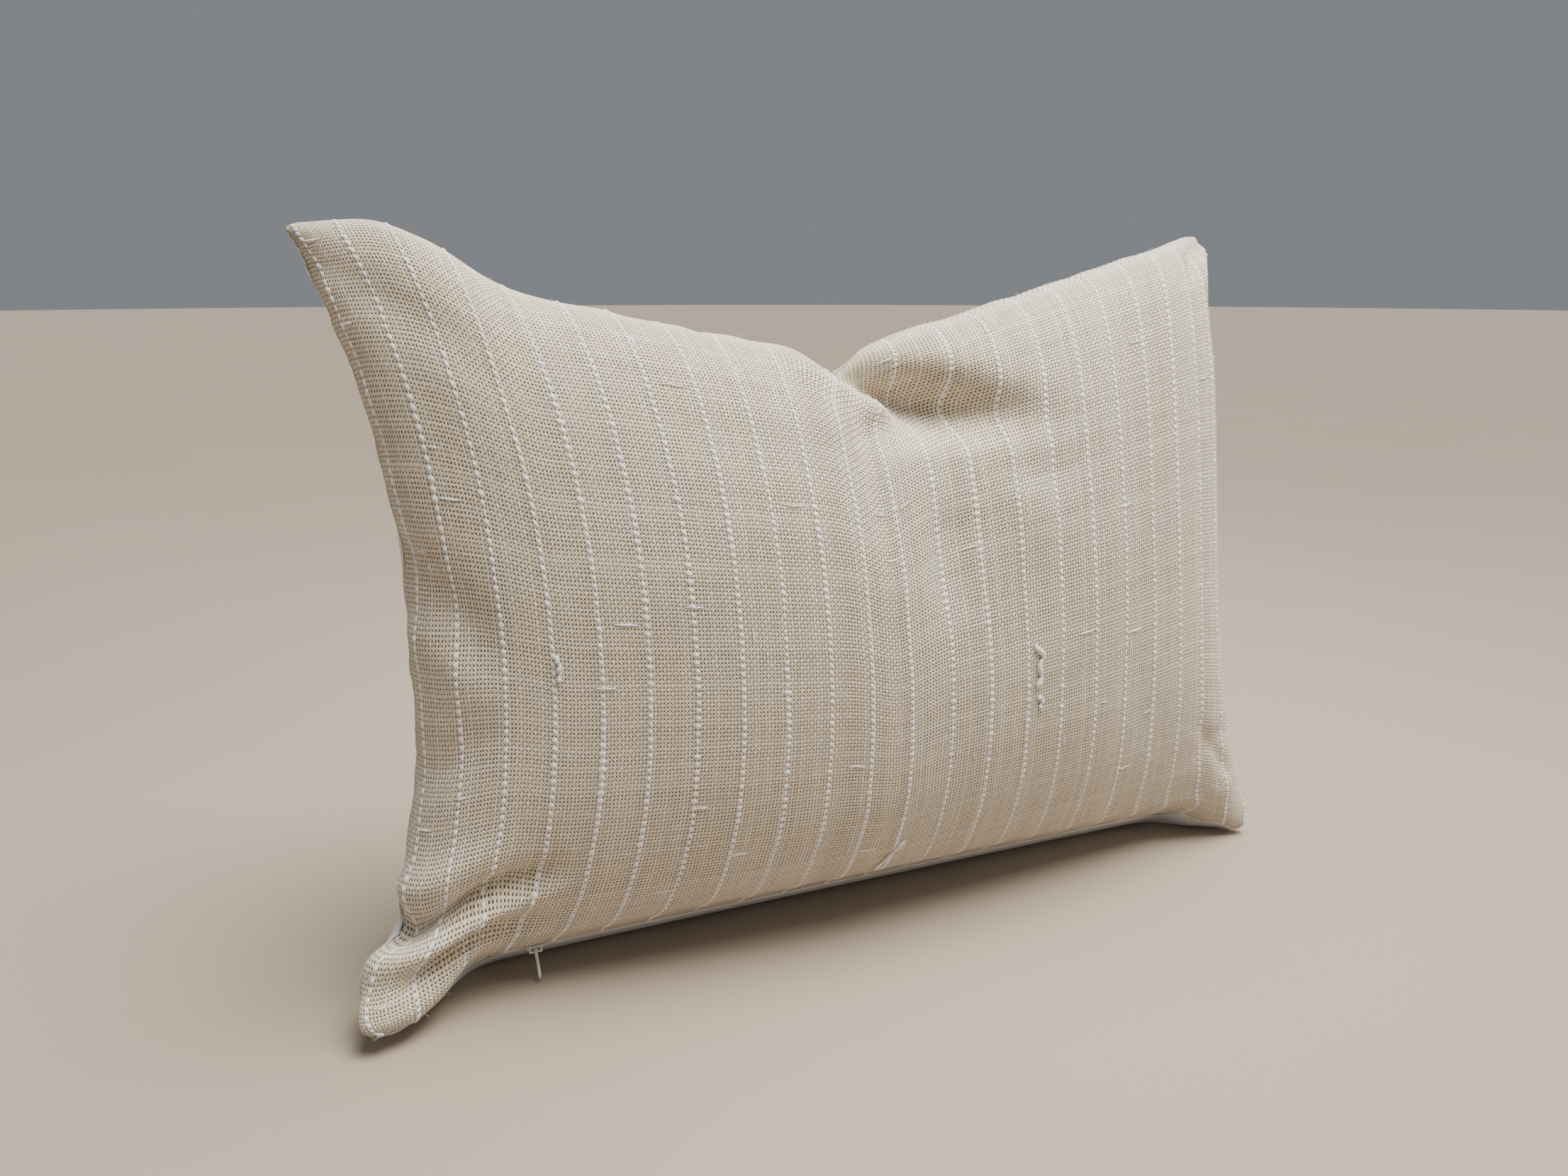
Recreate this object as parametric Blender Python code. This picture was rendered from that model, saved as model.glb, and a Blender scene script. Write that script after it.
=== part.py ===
"""A chopped rectangular throw pillow: a striped woven cover, its invisible zip, and the insert.

The pillow stands on its bottom edge and leans back. X runs along its width, the striped
front faces -Y, and Z is up. Metres. The origin is under the middle of its bounding box.
"""
import math

import bmesh
import bpy
from mathutils import Matrix, Vector

# Overall shape of the cover
WIDTH = 0.500               # corner tip to corner tip
HEIGHT = 0.352              # corner tip to corner tip, up the leaning body
FRONT_BULGE = 0.066         # how far the front swells out of the seam plane
BACK_BULGE = 0.062
LEAN = math.radians(9)
SIDE_PULL = 0.032           # the side seams bow in by this much
SEAM_HEIGHT = 0.014         # the bottom seam's straight run above the floor
BOTTOM_EAR_FORWARD = 0.017  # the bottom corner tips are pushed forward
TOP_EAR_BACK = 0.020
EAR_START = 0.73            # share of the half width where the corners begin to turn
EAR_TIP_HEIGHT = 0.0025     # the bottom corner tips above the floor
SAG = 0.046                 # the back's fill settles by this much
SAG_FULL = 0.16             # shares of the way round the back where the settling
SAG_EASE = 0.22             # is full, begins to ease
SAG_END = 0.62              # and ends
SIDE_CROWN = 0.85           # powers of the bulge's rounding: across
BACK_CROWN = 0.80           # up the back
LOW_CROWN = 1.25            # up the front near the floor
HIGH_CROWN = 0.80           # and up the rest of the front
FLOOR_SOFTNESS = 0.003      # the pressed flat starts with a bend this high

# The chop in the top edge
CHOP_X = -0.006              # the chop falls just left of the middle
CHOP_DROP = 0.062           # the top seam falls this much from its corners
CHOP_SLOT = 0.010           # and this much more in the crease itself
CHOP_SLOT_WIDTH = 0.020
VALLEY_DEPTH = 0.62         # share of the bulge that the crease takes away
VALLEY_WIDTH = 0.042
VALLEY_FOOT = 0.62          # share of the way up where the crease begins
VALLEY_HEAD = 0.97          # and where it is at its deepest

# Cloth and seams
CLOTH = 0.0009
SEAM_GAP = 0.0012           # between the two panels, where the seam thread runs
ALLOWANCE = 0.012
THREAD_RADIUS = 0.0002
RIM_LAYERS = 0.0024         # the turned-in cloth holds the panels this far up at the rim
CLEAR = 0.0003

# Zip
ZIP_LENGTH = 0.356          # stop to stop
ZIP_TILT = math.radians(40)  # its outer face looks this far forward of straight down
FACING = 0.012              # the flat strip of each panel beside the zip
FACING_THICK = 2 * CLOTH + 0.0001
SLIT = 0.0018
TAPE_WIDTH = 0.0105
TAPE_THICK = 0.0004
COIL_RADIUS = 0.00075
COIL_SPREAD = 0.00175       # each coil's centre from the middle of the slit
COIL_GAP = 0.00035          # between a coil and the slider's channel
STOP_LENGTH = 0.0030
STOP_GRIP = 0.0002          # the stops stand this proud of the coils
TAPE_TAIL = 0.012           # the tapes run on past each stop

# Slider and pull
SLIDER_LENGTH = 0.0090
SLIDER_PLATE = 0.0008
SLIDER_WIDTH = 0.0074
SLIDER_WALL = 0.0007
TAPE_GAP = 0.00035          # between a tape's face and the slider's side slot
BITE = 0.0001               # joined solids overlap by this much
NECK = 0.0012
NECK_LENGTH = 0.0030
BRIDGE_WIDTH = 0.0044
CROWN_WIDTH = 0.0016
CROWN_THICK = 0.0007
CROWN_WINDOW = 0.0048       # the arch's opening, along the slider
PIN_RADIUS = 0.00045
PULL_LENGTH = 0.0135        # from the pin to the tip
PULL_WIDTH = 0.0052
PULL_THICK = 0.0010
PIN_SLACK = 0.00028
ARM_WIDTH = 0.0010
ARM_INSET = 0.0004          # the arms stand this far in from the drop's widest part
WINDOW_LENGTH = 0.0034

# Insert, inside the cover
INSERT_EDGE_GAP = 0.015     # the insert's seam stays clear of the cover's allowances
INSERT_FACE_GAP = 0.0035
INSERT_CLOTH = 0.0006
INSERT_TURN = 0.0020        # the insert's seam edge is this deep
FILL_GAP = 0.006

COLUMNS = 20
ROWS = 14
ZIP_ZONE = 0.815            # share of the half width where the bottom seam is straight
LIP_START = 0.92            # past this share the bottom allowance has its full depth
SHORT_ROOT = 0.003          # how far up the panel its folded end reaches beside the zip
ROOT_DEPTH = 0.003          # elsewhere the allowance leaves the panel this far inside the seam
ROOT_SPREAD = 0.004         # beside the zip it leaves this far from the slit's edge
HEM_ROWS = 2                # rows at the bottom where the cloth lies double

STITCH_DEPTH = 0.0018       # the seam thread runs this far inside the fold

UP = Vector((0.0, math.sin(LEAN), math.cos(LEAN)))
FORWARD = Vector((0.0, -math.cos(LEAN), math.sin(LEAN)))
TIP = Vector((0.0, 0.0, EAR_TIP_HEIGHT - BOTTOM_EAR_FORWARD * math.sin(LEAN)))
SEAM_RISE = (SEAM_HEIGHT - TIP.z) / math.cos(LEAN)


def smooth(edge0, edge1, value):
    """0 below edge0, 1 above edge1, with a smooth rise between."""
    share = min(max((value - edge0) / (edge1 - edge0), 0.0), 1.0)
    return share * share * (3 - 2 * share)


# ---- The shape of the body -------------------------------------------------

def ear_offset(side, rise):
    """How far the seam plane is bent forward (+) or back (-) near a corner."""
    corner = smooth(EAR_START, 1.0, abs(side)) * abs(2 * rise - 1) ** 3
    return corner * (BOTTOM_EAR_FORWARD if rise < 0.5 else -TOP_EAR_BACK)


def outline(side, rise):
    """A point of the seam plane: side is -1 to 1 across, rise is 0 to 1 up."""
    pull = SIDE_PULL * (1 - abs(2 * rise - 1) ** 2.2)
    across = side * (WIDTH / 2 - pull)
    bottom = SEAM_RISE * (1 - smooth(ZIP_ZONE, 1.0, abs(side)))
    off_centre = abs(across - CHOP_X)
    drop = CHOP_DROP * (1 - off_centre / (WIDTH / 2 + abs(CHOP_X)))
    slot = CHOP_SLOT * math.exp(-(off_centre / CHOP_SLOT_WIDTH) ** 2)
    top = HEIGHT - drop - slot
    return across, bottom + (top - bottom) * rise


def crease(across, rise):
    """The share of the bulge that is left beside the chop."""
    near = math.exp(-((across - CHOP_X) / VALLEY_WIDTH) ** 2)
    return 1 - VALLEY_DEPTH * near * smooth(VALLEY_FOOT, VALLEY_HEAD, rise)


def grid_place(i, j):
    """Column i and row j as side, rise and the two turns they come from."""
    turn = 2 * i / COLUMNS - 1
    lift = j / ROWS
    return math.sin(turn * math.pi / 2), (1 - math.cos(math.pi * lift)) / 2, turn, lift


def on_rim(i, j):
    return i in (0, COLUMNS) or j in (0, ROWS)


def inset_place(side, rise, inset):
    """Move a place of the seam plane towards the middle by a distance at the rim."""
    return side * (1 - inset / (WIDTH / 2)), 0.5 + (rise - 0.5) * (1 - inset / (HEIGHT / 2))


def body_point(i, j, front, inset=0.0, face_gap=0.0, under=0.0):
    """(across, height, forward) of a grid point on the cover's outside, or inside it."""
    side, rise, turn, lift = grid_place(i, j)
    side, rise = inset_place(side, rise, inset)
    across, height = outline(side, rise)
    forward = ear_offset(side, rise)
    sign = 1 if front else -1
    if on_rim(i, j):
        return Vector((across, height, forward + sign * SEAM_GAP / 2))
    fullness = math.cos(turn * math.pi / 2) ** SIDE_CROWN * crease(across, rise)
    arch = math.sin(math.pi * lift)
    if front:
        crown = LOW_CROWN + (HIGH_CROWN - LOW_CROWN) * smooth(0.1, 0.5, lift)
        bulge = FRONT_BULGE * fullness * arch ** crown
    else:
        bulge = BACK_BULGE * fullness * arch ** BACK_CROWN
        low = smooth(0.0, SAG_FULL, lift) * (1 - smooth(SAG_EASE, SAG_END, lift))
        height -= SAG * low * fullness
    bulge = (RIM_LAYERS + bulge) * (1 - face_gap / min(FRONT_BULGE, BACK_BULGE)) - under
    return Vector((across, height, forward + sign * (SEAM_GAP / 2 + bulge)))


def lean(point, origin):
    return origin + Vector((point.x, 0, 0)) + UP * point.y + FORWARD * point.z


def pressed(point):
    """Flatten what would reach below the floor."""
    soft = FLOOR_SOFTNESS
    if point.z >= soft:
        return point
    height = 0.0 if point.z <= -soft else (point.z + soft) ** 2 / (4 * soft)
    return Vector((point.x, point.y, height))


def floor_gap(point, lift):
    """Flatten as pressed does, with the flat this far above the floor."""
    raised = Vector((0, 0, lift))
    return pressed(point - raised) + raised


def centred_origin():
    """The seam plane's foot, placed so that the box's middle is at Y = 0."""
    depths = [
        lean(body_point(i, j, front), TIP).y
        for i in range(COLUMNS + 1) for j in range(ROWS + 1) for front in (True, False)
    ]
    return TIP - Vector((0, (min(depths) + max(depths)) / 2, 0))


ORIGIN = centred_origin()

# The zip's own axes: along X, across the slit towards the front, and out of the pillow
ACROSS = Vector((0.0, -math.cos(ZIP_TILT), math.sin(ZIP_TILT)))
OUT = Vector((0.0, -math.sin(ZIP_TILT), -math.cos(ZIP_TILT)))
ZIP_LINE = lean(Vector((0, SEAM_RISE, 0)), ORIGIN)
COIL_DEPTH = FACING_THICK + CLEAR + SLIDER_PLATE + COIL_GAP + COIL_RADIUS
PIN_OUT = CLEAR + SLIDER_PLATE + PIN_SLACK + PIN_RADIUS
SLIDER_REST = -ZIP_LENGTH / 2 + SLIDER_LENGTH / 2 + CLEAR


def zip_point(along, across, out):
    return ZIP_LINE + Vector((along, 0, 0)) + ACROSS * across + OUT * out


def zip_matrix(along, out=0.0):
    axes = Matrix((Vector((1, 0, 0)), ACROSS, OUT)).transposed()
    return Matrix.Translation(zip_point(along, 0, out)) @ axes.to_4x4()


def in_zip_zone(i, j):
    return j == 0 and abs(grid_place(i, j)[0]) < ZIP_ZONE


def tapered(i, j):
    """True where the bottom allowance still lies folded back, just past the zip."""
    return j == 0 and abs(grid_place(i, j)[0]) < LIP_START


def cover_point(i, j, front):
    """A point on the cover's outside, with the flat facings beside the zip."""
    sign = 1 if front else -1
    point = lean(body_point(i, j, front), ORIGIN)
    if in_zip_zone(i, j):
        return zip_point(point.x, sign * SLIT / 2, 0)
    if j == 1 and in_zip_zone(i, 0):
        return zip_point(point.x, sign * FACING, 0)
    return point if on_rim(i, j) else pressed(point)


def seam_inset(i, j, depth):
    """A point of the seam plane this far inside the rim, for what is sewn there."""
    side, rise, _, _ = grid_place(i, j)
    rim = Vector((*outline(side, rise), ear_offset(side, rise)))
    side, rise = inset_place(side, rise, ALLOWANCE)
    inner = Vector((*outline(side, rise), ear_offset(side, rise)))
    return rim.lerp(inner, depth / ALLOWANCE)


def rim_loop():
    """The rim's grid places, once round."""
    bottom = [(i, 0) for i in range(COLUMNS)]
    right = [(COLUMNS, j) for j in range(ROWS)]
    top = [(i, ROWS) for i in range(COLUMNS, 0, -1)]
    left = [(0, j) for j in range(ROWS, 0, -1)]
    return bottom + right + top + left


# ---- Mesh helpers ----------------------------------------------------------

class Solid:
    """Gathers grids and loops of points, and joins them into one closed mesh."""

    def __init__(self, name):
        self.name = name
        self.mesh = bmesh.new()

    def grid(self, point):
        """Add a faced grid of points and return its vertices by place."""
        verts = {
            (i, j): self.mesh.verts.new(point(i, j))
            for i in range(COLUMNS + 1) for j in range(ROWS + 1)
        }
        for i in range(COLUMNS):
            for j in range(ROWS):
                corners = ((i, j), (i + 1, j), (i + 1, j + 1), (i, j + 1))
                self.mesh.faces.new([verts[c] for c in corners])
        return verts

    def loop(self, point):
        return {place: self.mesh.verts.new(point(*place)) for place in rim_loop()}

    def strip(self, first, second):
        """Join two rings of vertices with faces."""
        places = rim_loop()
        for here, there in zip(places, places[1:] + places[:1]):
            self.mesh.faces.new((first[here], first[there], second[there], second[here]))

    def finish(self, material):
        face_outward(self.mesh)
        return add_object(self.name, self.mesh, material)


def face_outward(mesh):
    """Turn every face of a closed mesh outward."""
    bmesh.ops.recalc_face_normals(mesh, faces=mesh.faces)
    if mesh.calc_volume(signed=True) < 0:
        bmesh.ops.reverse_faces(mesh, faces=mesh.faces)


def add_object(name, mesh_data, material):
    """Turn a bmesh into a named object with one material and soft shading."""
    data = bpy.data.meshes.new(name)
    mesh_data.to_mesh(data)
    mesh_data.free()
    data.materials.append(material)
    data.shade_smooth()
    data.set_sharp_from_angle(angle=math.radians(40))
    thing = bpy.data.objects.new(name, data)
    bpy.context.collection.objects.link(thing)
    return thing


def make_material(name, colour, roughness, metallic=0.0):
    material = bpy.data.materials.new(name)
    material.use_nodes = True
    shader = material.node_tree.nodes["Principled BSDF"]
    shader.inputs["Base Color"].default_value = (*colour, 1.0)
    shader.inputs["Roughness"].default_value = roughness
    shader.inputs["Metallic"].default_value = metallic
    return material


# ---- The cover -------------------------------------------------------------

def build_panel(name, front, material):
    """One cover panel: its skin, and the seam allowance turned in along its rim."""
    sign = 1 if front else -1

    def inner_point(i, j):
        if on_rim(i, j):
            return root_point(i, j)
        if j == 1 and in_zip_zone(i, 0):
            return cover_point(i, j, front) - OUT * FACING_THICK
        layer = FACING_THICK if j <= HEM_ROWS else CLOTH
        shape = body_point(i, j, front, inset=layer, under=layer)
        return floor_gap(lean(shape, ORIGIN), layer)

    def sewn_point(i, j, depth, lift):
        point = seam_inset(i, j, depth)
        point.z += sign * (SEAM_GAP / 2 + lift)
        return lean(point, ORIGIN)

    def root_point(i, j):
        if in_zip_zone(i, j):
            return zip_point(cover_point(i, j, front).x, sign * (SLIT / 2 + ROOT_SPREAD), -FACING_THICK)
        if tapered(i, j):
            return sewn_point(i, j, FACING_THICK, SHORT_ROOT)
        return sewn_point(i, j, ROOT_DEPTH, CLOTH)

    def edge_point(lift, share):
        def point(i, j):
            if in_zip_zone(i, j):
                return cover_point(i, j, front) - OUT * FACING_THICK * share
            if tapered(i, j):
                return sewn_point(i, j, FACING_THICK * share, 0.0)
            return sewn_point(i, j, ALLOWANCE, lift)
        return point

    solid = Solid(name)
    outer = solid.grid(lambda i, j: cover_point(i, j, front))
    inner = solid.grid(inner_point)
    fold_side = solid.loop(edge_point(0.0, 0.5))
    far_side = solid.loop(edge_point(CLOTH, 1.0))
    solid.strip(outer, fold_side)
    solid.strip(fold_side, far_side)
    solid.strip(far_side, inner)
    return solid.finish(material)


def tube(name, points, radius, material, sides=4, closed=False):
    """A thread: a round tube through the points, with flat ends."""
    mesh = bmesh.new()
    rings = []
    count = len(points)
    for k, point in enumerate(points):
        before = points[k - 1] if k or closed else point
        after = points[(k + 1) % count] if k < count - 1 or closed else point
        heading = (after - before).normalized()
        level = heading.cross(FORWARD).normalized()
        square = level.cross(heading)
        angles = [2 * math.pi * (n + 0.5) / sides for n in range(sides)]
        rings.append([
            mesh.verts.new(point + radius * (math.cos(a) * level + math.sin(a) * square))
            for a in angles
        ])
    pairs = list(zip(rings, rings[1:]))
    if closed:
        pairs.append((rings[-1], rings[0]))
    else:
        mesh.faces.new(rings[0])
        mesh.faces.new(rings[-1])
    for first, second in pairs:
        for n in range(sides):
            m = (n + 1) % sides
            mesh.faces.new((first[n], first[m], second[m], second[n]))
    face_outward(mesh)
    return add_object(name, mesh, material)


def sewn_run():
    """The rim's places from one end of the zip round to the other, short of each tip."""
    places = rim_loop()
    start = max(n for n, (i, j) in enumerate(places) if in_zip_zone(i, j)) + 1
    turned = places[start:] + places[:start]
    corners = [(i, j) for i in (0, COLUMNS) for j in (0, ROWS)]
    return [place for place in turned if place not in corners and not in_zip_zone(*place)]


def build_cover_threads(materials):
    middle = [lean(seam_inset(i, j, STITCH_DEPTH), ORIGIN) for i, j in sewn_run()]
    tube("cover_seam_thread", middle, THREAD_RADIUS, materials["thread"])
    for name, sign in (("overlock_thread_front", 1), ("overlock_thread_back", -1)):
        path = []
        for i, j in sewn_run():
            point = seam_inset(i, j, ALLOWANCE + THREAD_RADIUS * 1.5 + CLEAR)
            point.z += sign * (SEAM_GAP + CLOTH) / 2
            path.append(lean(point, ORIGIN))
        tube(name, path, THREAD_RADIUS * 1.5, materials["thread"])


# ---- The zip ---------------------------------------------------------------

def box(mesh, low, high):
    """Add a box between two corners to a bmesh."""
    size = [b - a for a, b in zip(low, high)]
    middle = [(a + b) / 2 for a, b in zip(low, high)]
    matrix = Matrix.Translation(middle) @ Matrix.Diagonal((*size, 1.0))
    bmesh.ops.create_cube(mesh, size=1.0, matrix=matrix)


def box_object(name, low, high, material, along=0.0):
    mesh = bmesh.new()
    box(mesh, low, high)
    thing = add_object(name, mesh, material)
    thing.matrix_world = zip_matrix(along)
    return thing


def extruded(name, outline_points, length, material):
    """A flat outline in the local YZ plane, pushed along X, half each way."""
    mesh = bmesh.new()
    verts = [mesh.verts.new((-length / 2, y, z)) for y, z in outline_points]
    face = mesh.faces.new(verts)
    pushed = bmesh.ops.extrude_face_region(mesh, geom=[face])["geom"]
    moved = [v for v in pushed if isinstance(v, bmesh.types.BMVert)]
    bmesh.ops.translate(mesh, verts=moved, vec=(length, 0, 0))
    face_outward(mesh)
    return add_object(name, mesh, material)


def build_tapes(materials):
    """The two tapes, their coils, and the rows of stitching that hold the tapes."""
    inside = COIL_SPREAD + COIL_RADIUS + CLEAR
    half = ZIP_LENGTH / 2 + TAPE_TAIL
    stitch = -(COIL_DEPTH + FACING_THICK) / 2
    for word, sign in (("front", 1), ("back", -1)):
        reach = sorted((sign * inside, sign * (inside + TAPE_WIDTH)))
        low = (-half, reach[0], -COIL_DEPTH - TAPE_THICK / 2)
        high = (half, reach[1], -COIL_DEPTH + TAPE_THICK / 2)
        box_object("zipper_tape_" + word, low, high, materials["tape"])
        ends = (-ZIP_LENGTH / 2, ZIP_LENGTH / 2)
        coil = [zip_point(x, sign * COIL_SPREAD, -COIL_DEPTH) for x in ends]
        tube("zipper_coil_" + word, coil, COIL_RADIUS, materials["nylon"], sides=8)
        seam = [zip_point(x, sign * (inside + TAPE_WIDTH / 2), stitch) for x in (-half, half)]
        tube("zipper_stitching_" + word, seam, THREAD_RADIUS, materials["thread"])


def build_stops(materials):
    """Two clips at the closed end, and one block across both coils at the other."""
    tall = COIL_RADIUS + STOP_GRIP
    far = ZIP_LENGTH / 2 + CLEAR
    for word, sign in (("front", 1), ("back", -1)):
        reach = sorted((sign * (COIL_SPREAD - tall), sign * (COIL_SPREAD + tall)))
        low = (-far - STOP_LENGTH, reach[0], -COIL_DEPTH - tall)
        high = (-far, reach[1], -COIL_DEPTH + tall)
        box_object("zipper_top_stop_" + word, low, high, materials["nylon"])
    wide = COIL_SPREAD + tall
    low = (far, -wide, -COIL_DEPTH - tall)
    high = (far + STOP_LENGTH, wide, -COIL_DEPTH + tall)
    box_object("zipper_bottom_stop", low, high, materials["nylon"])


def union(mesh_parts, name, material):
    """Join overlapping solids into one with exact Booleans."""
    first = add_object(name, mesh_parts[0], material)
    for n, extra in enumerate(mesh_parts[1:]):
        tool = add_object(f"{name}_join_{n}", extra, material)
        tool.hide_render = True
        tool.display_type = "WIRE"
        tool.parent = first
        join = first.modifiers.new(f"join_{n}", "BOOLEAN")
        join.operation = "UNION"
        join.solver = "EXACT"
        join.object = tool
    return first


def boxed(*corners):
    mesh = bmesh.new()
    box(mesh, *corners)
    return mesh


def build_slider(materials):
    """The slider: a channel round both coils, a neck through the slit, and a crown."""
    half = SLIDER_LENGTH / 2
    wide = SLIDER_WIDTH / 2
    plate_top = -FACING_THICK - CLEAR
    channel_top = plate_top - SLIDER_PLATE
    channel_bottom = -COIL_DEPTH - COIL_RADIUS - COIL_GAP
    slot = TAPE_THICK / 2 + TAPE_GAP
    parts = [
        boxed((-half, -wide, channel_top), (half, wide, plate_top)),
        boxed((-half, -wide, channel_bottom - SLIDER_PLATE), (half, wide, channel_bottom)),
    ]
    for sign in (1, -1):
        reach = sorted((sign * (wide - SLIDER_WALL), sign * wide))
        parts.append(boxed((-half, reach[0], -COIL_DEPTH + slot), (half, reach[1], channel_top + BITE)))
        parts.append(boxed(
            (-half, reach[0], channel_bottom - BITE), (half, reach[1], -COIL_DEPTH - slot)))
    nose = -half + NECK_LENGTH
    neck_foot = channel_bottom - BITE
    bridge_low, bridge_high = CLEAR, CLEAR + SLIDER_PLATE
    parts.append(boxed((-half + BITE, -NECK / 2, neck_foot), (nose, NECK / 2, bridge_low + BITE)))
    bridge = BRIDGE_WIDTH / 2
    parts.append(boxed((-half, -bridge, bridge_low), (half, bridge, bridge_high)))
    arch_low = bridge_high + 2 * (PIN_RADIUS + PIN_SLACK)
    post = CROWN_WINDOW / 2
    broad = CROWN_WIDTH / 2
    for sign in (1, -1):
        reach = sorted((sign * post, sign * (post + CROWN_THICK)))
        parts.append(boxed((reach[0], -broad, bridge_high - BITE), (reach[1], broad, arch_low + BITE)))
    end = post + CROWN_THICK
    parts.append(boxed((-end, -broad, arch_low), (end, broad, arch_low + CROWN_THICK)))
    slider = union(parts, "zipper_slider", materials["enamel"])
    slider.matrix_world = zip_matrix(SLIDER_REST)


def pull_outline():
    """The pull's flat outline: two arms beside a slot, then a rounded drop."""
    arm = PULL_WIDTH / 2 - ARM_INSET
    slot = arm - ARM_WIDTH
    start = PIN_RADIUS * 0.6
    swell = PULL_WIDTH / 2
    centre = PULL_LENGTH - swell
    tip = [
        (swell * math.cos(a), centre + swell * math.sin(a))
        for a in (math.pi * n / 10 for n in range(11))
    ]
    return [
        (-slot, start), (-slot, WINDOW_LENGTH), (slot, WINDOW_LENGTH), (slot, start),
        (arm, start), (arm, WINDOW_LENGTH), *tip, (-arm, WINDOW_LENGTH), (-arm, start),
    ]


def build_pull(materials):
    """The pull, hinged on its pin under the slider's crown; it rests pointing out."""
    flat = extruded("zipper_pull", pull_outline(), PULL_THICK, materials["enamel"])
    pin = bmesh.new()
    across = Matrix.Rotation(math.pi / 2, 4, "X")
    bmesh.ops.create_cone(
        pin, cap_ends=True, segments=12, radius1=PIN_RADIUS, radius2=PIN_RADIUS,
        depth=PULL_WIDTH - 2 * ARM_INSET, matrix=across)
    tool = add_object("zipper_pull_pin", pin, materials["enamel"])
    tool.hide_render = True
    tool.display_type = "WIRE"
    tool.parent = flat
    join = flat.modifiers.new("pin", "BOOLEAN")
    join.operation = "UNION"
    join.solver = "EXACT"
    join.object = tool
    flat.matrix_world = zip_matrix(SLIDER_REST, PIN_OUT)


# ---- The insert ------------------------------------------------------------

def insert_point(i, j, front, extra=0.0):
    """The body's shape again, smaller by the insert's gaps and by extra all round."""
    shape = body_point(i, j, front, INSERT_EDGE_GAP + extra, INSERT_FACE_GAP + extra)
    point = lean(shape, ORIGIN)
    return point if on_rim(i, j) else floor_gap(point, INSERT_FACE_GAP + extra)


def build_insert_shell(name, front, material):
    """One half of the insert's cotton cover, with a narrow turned edge at its seam."""
    sign = 1 if front else -1

    def inner_point(i, j):
        if not on_rim(i, j):
            return insert_point(i, j, front, INSERT_CLOTH)
        shape = body_point(i, j, front, INSERT_EDGE_GAP + INSERT_TURN)
        return lean(shape, ORIGIN) + FORWARD * sign * INSERT_CLOTH

    solid = Solid(name)
    outer = solid.grid(lambda i, j: insert_point(i, j, front))
    inner = solid.grid(inner_point)
    solid.strip(outer, inner)
    return solid.finish(material)


def build_insert(materials):
    build_insert_shell("insert_shell_front", True, materials["insert"])
    build_insert_shell("insert_shell_back", False, materials["insert"])
    middle = [
        (insert_point(i, j, True) + insert_point(i, j, False)) / 2 for i, j in rim_loop()
    ]
    tube("insert_seam_thread", middle, THREAD_RADIUS, materials["thread"], closed=True)
    fill = Solid("insert_fill")
    front = fill.grid(lambda i, j: insert_point(i, j, True, FILL_GAP))
    back = fill.grid(lambda i, j: insert_point(i, j, False, FILL_GAP))
    fill.strip(front, back)
    fill.finish(materials["fill"])


def make_materials():
    return {
        "woven": make_material("striped_weave", (0.68, 0.62, 0.50), 0.95),
        "cotton": make_material("plain_cotton", (0.80, 0.79, 0.76), 0.90),
        "thread": make_material("thread", (0.78, 0.75, 0.68), 0.85),
        "tape": make_material("zip_tape", (0.80, 0.79, 0.75), 0.85),
        "nylon": make_material("zip_nylon", (0.84, 0.83, 0.80), 0.45),
        "enamel": make_material("zip_enamel", (0.86, 0.85, 0.82), 0.35),
        "insert": make_material("insert_cotton", (0.88, 0.88, 0.87), 0.90),
        "fill": make_material("insert_fibre", (0.92, 0.92, 0.91), 1.0),
    }


def main():
    for thing in list(bpy.data.objects):
        bpy.data.objects.remove(thing, do_unlink=True)
    materials = make_materials()
    build_panel("front_panel", True, materials["woven"])
    build_panel("back_panel", False, materials["cotton"])
    build_cover_threads(materials)
    build_tapes(materials)
    build_stops(materials)
    build_slider(materials)
    build_pull(materials)
    build_insert(materials)


main()
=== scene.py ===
"""The looks of the chopped throw pillow: its striped weave, plain back, zip and insert."""
import math

import bmesh
import bpy
import numpy as np
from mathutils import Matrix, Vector


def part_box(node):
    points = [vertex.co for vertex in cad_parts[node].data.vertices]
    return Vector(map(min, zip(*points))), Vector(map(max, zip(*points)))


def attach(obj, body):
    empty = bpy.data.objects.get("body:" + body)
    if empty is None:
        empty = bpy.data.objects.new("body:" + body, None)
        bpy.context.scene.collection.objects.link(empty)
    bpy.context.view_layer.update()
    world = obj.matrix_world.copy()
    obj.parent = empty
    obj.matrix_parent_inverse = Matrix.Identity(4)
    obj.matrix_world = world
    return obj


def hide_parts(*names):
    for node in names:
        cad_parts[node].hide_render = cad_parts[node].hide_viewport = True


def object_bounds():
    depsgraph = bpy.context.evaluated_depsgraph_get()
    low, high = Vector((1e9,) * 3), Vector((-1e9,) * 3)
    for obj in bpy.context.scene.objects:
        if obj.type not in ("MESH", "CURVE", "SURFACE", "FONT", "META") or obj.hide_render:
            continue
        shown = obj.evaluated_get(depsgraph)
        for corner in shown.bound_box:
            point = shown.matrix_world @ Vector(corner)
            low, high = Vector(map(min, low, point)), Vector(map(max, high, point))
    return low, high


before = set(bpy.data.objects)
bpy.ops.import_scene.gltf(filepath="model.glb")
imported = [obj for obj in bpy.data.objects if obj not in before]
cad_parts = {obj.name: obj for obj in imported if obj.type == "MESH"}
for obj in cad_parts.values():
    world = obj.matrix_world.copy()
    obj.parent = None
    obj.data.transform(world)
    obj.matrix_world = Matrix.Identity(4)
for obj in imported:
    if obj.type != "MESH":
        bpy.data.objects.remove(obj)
CAD_LOW, CAD_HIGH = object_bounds()

# ---- Sizes, in metres ------------------------------------------------------

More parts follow.
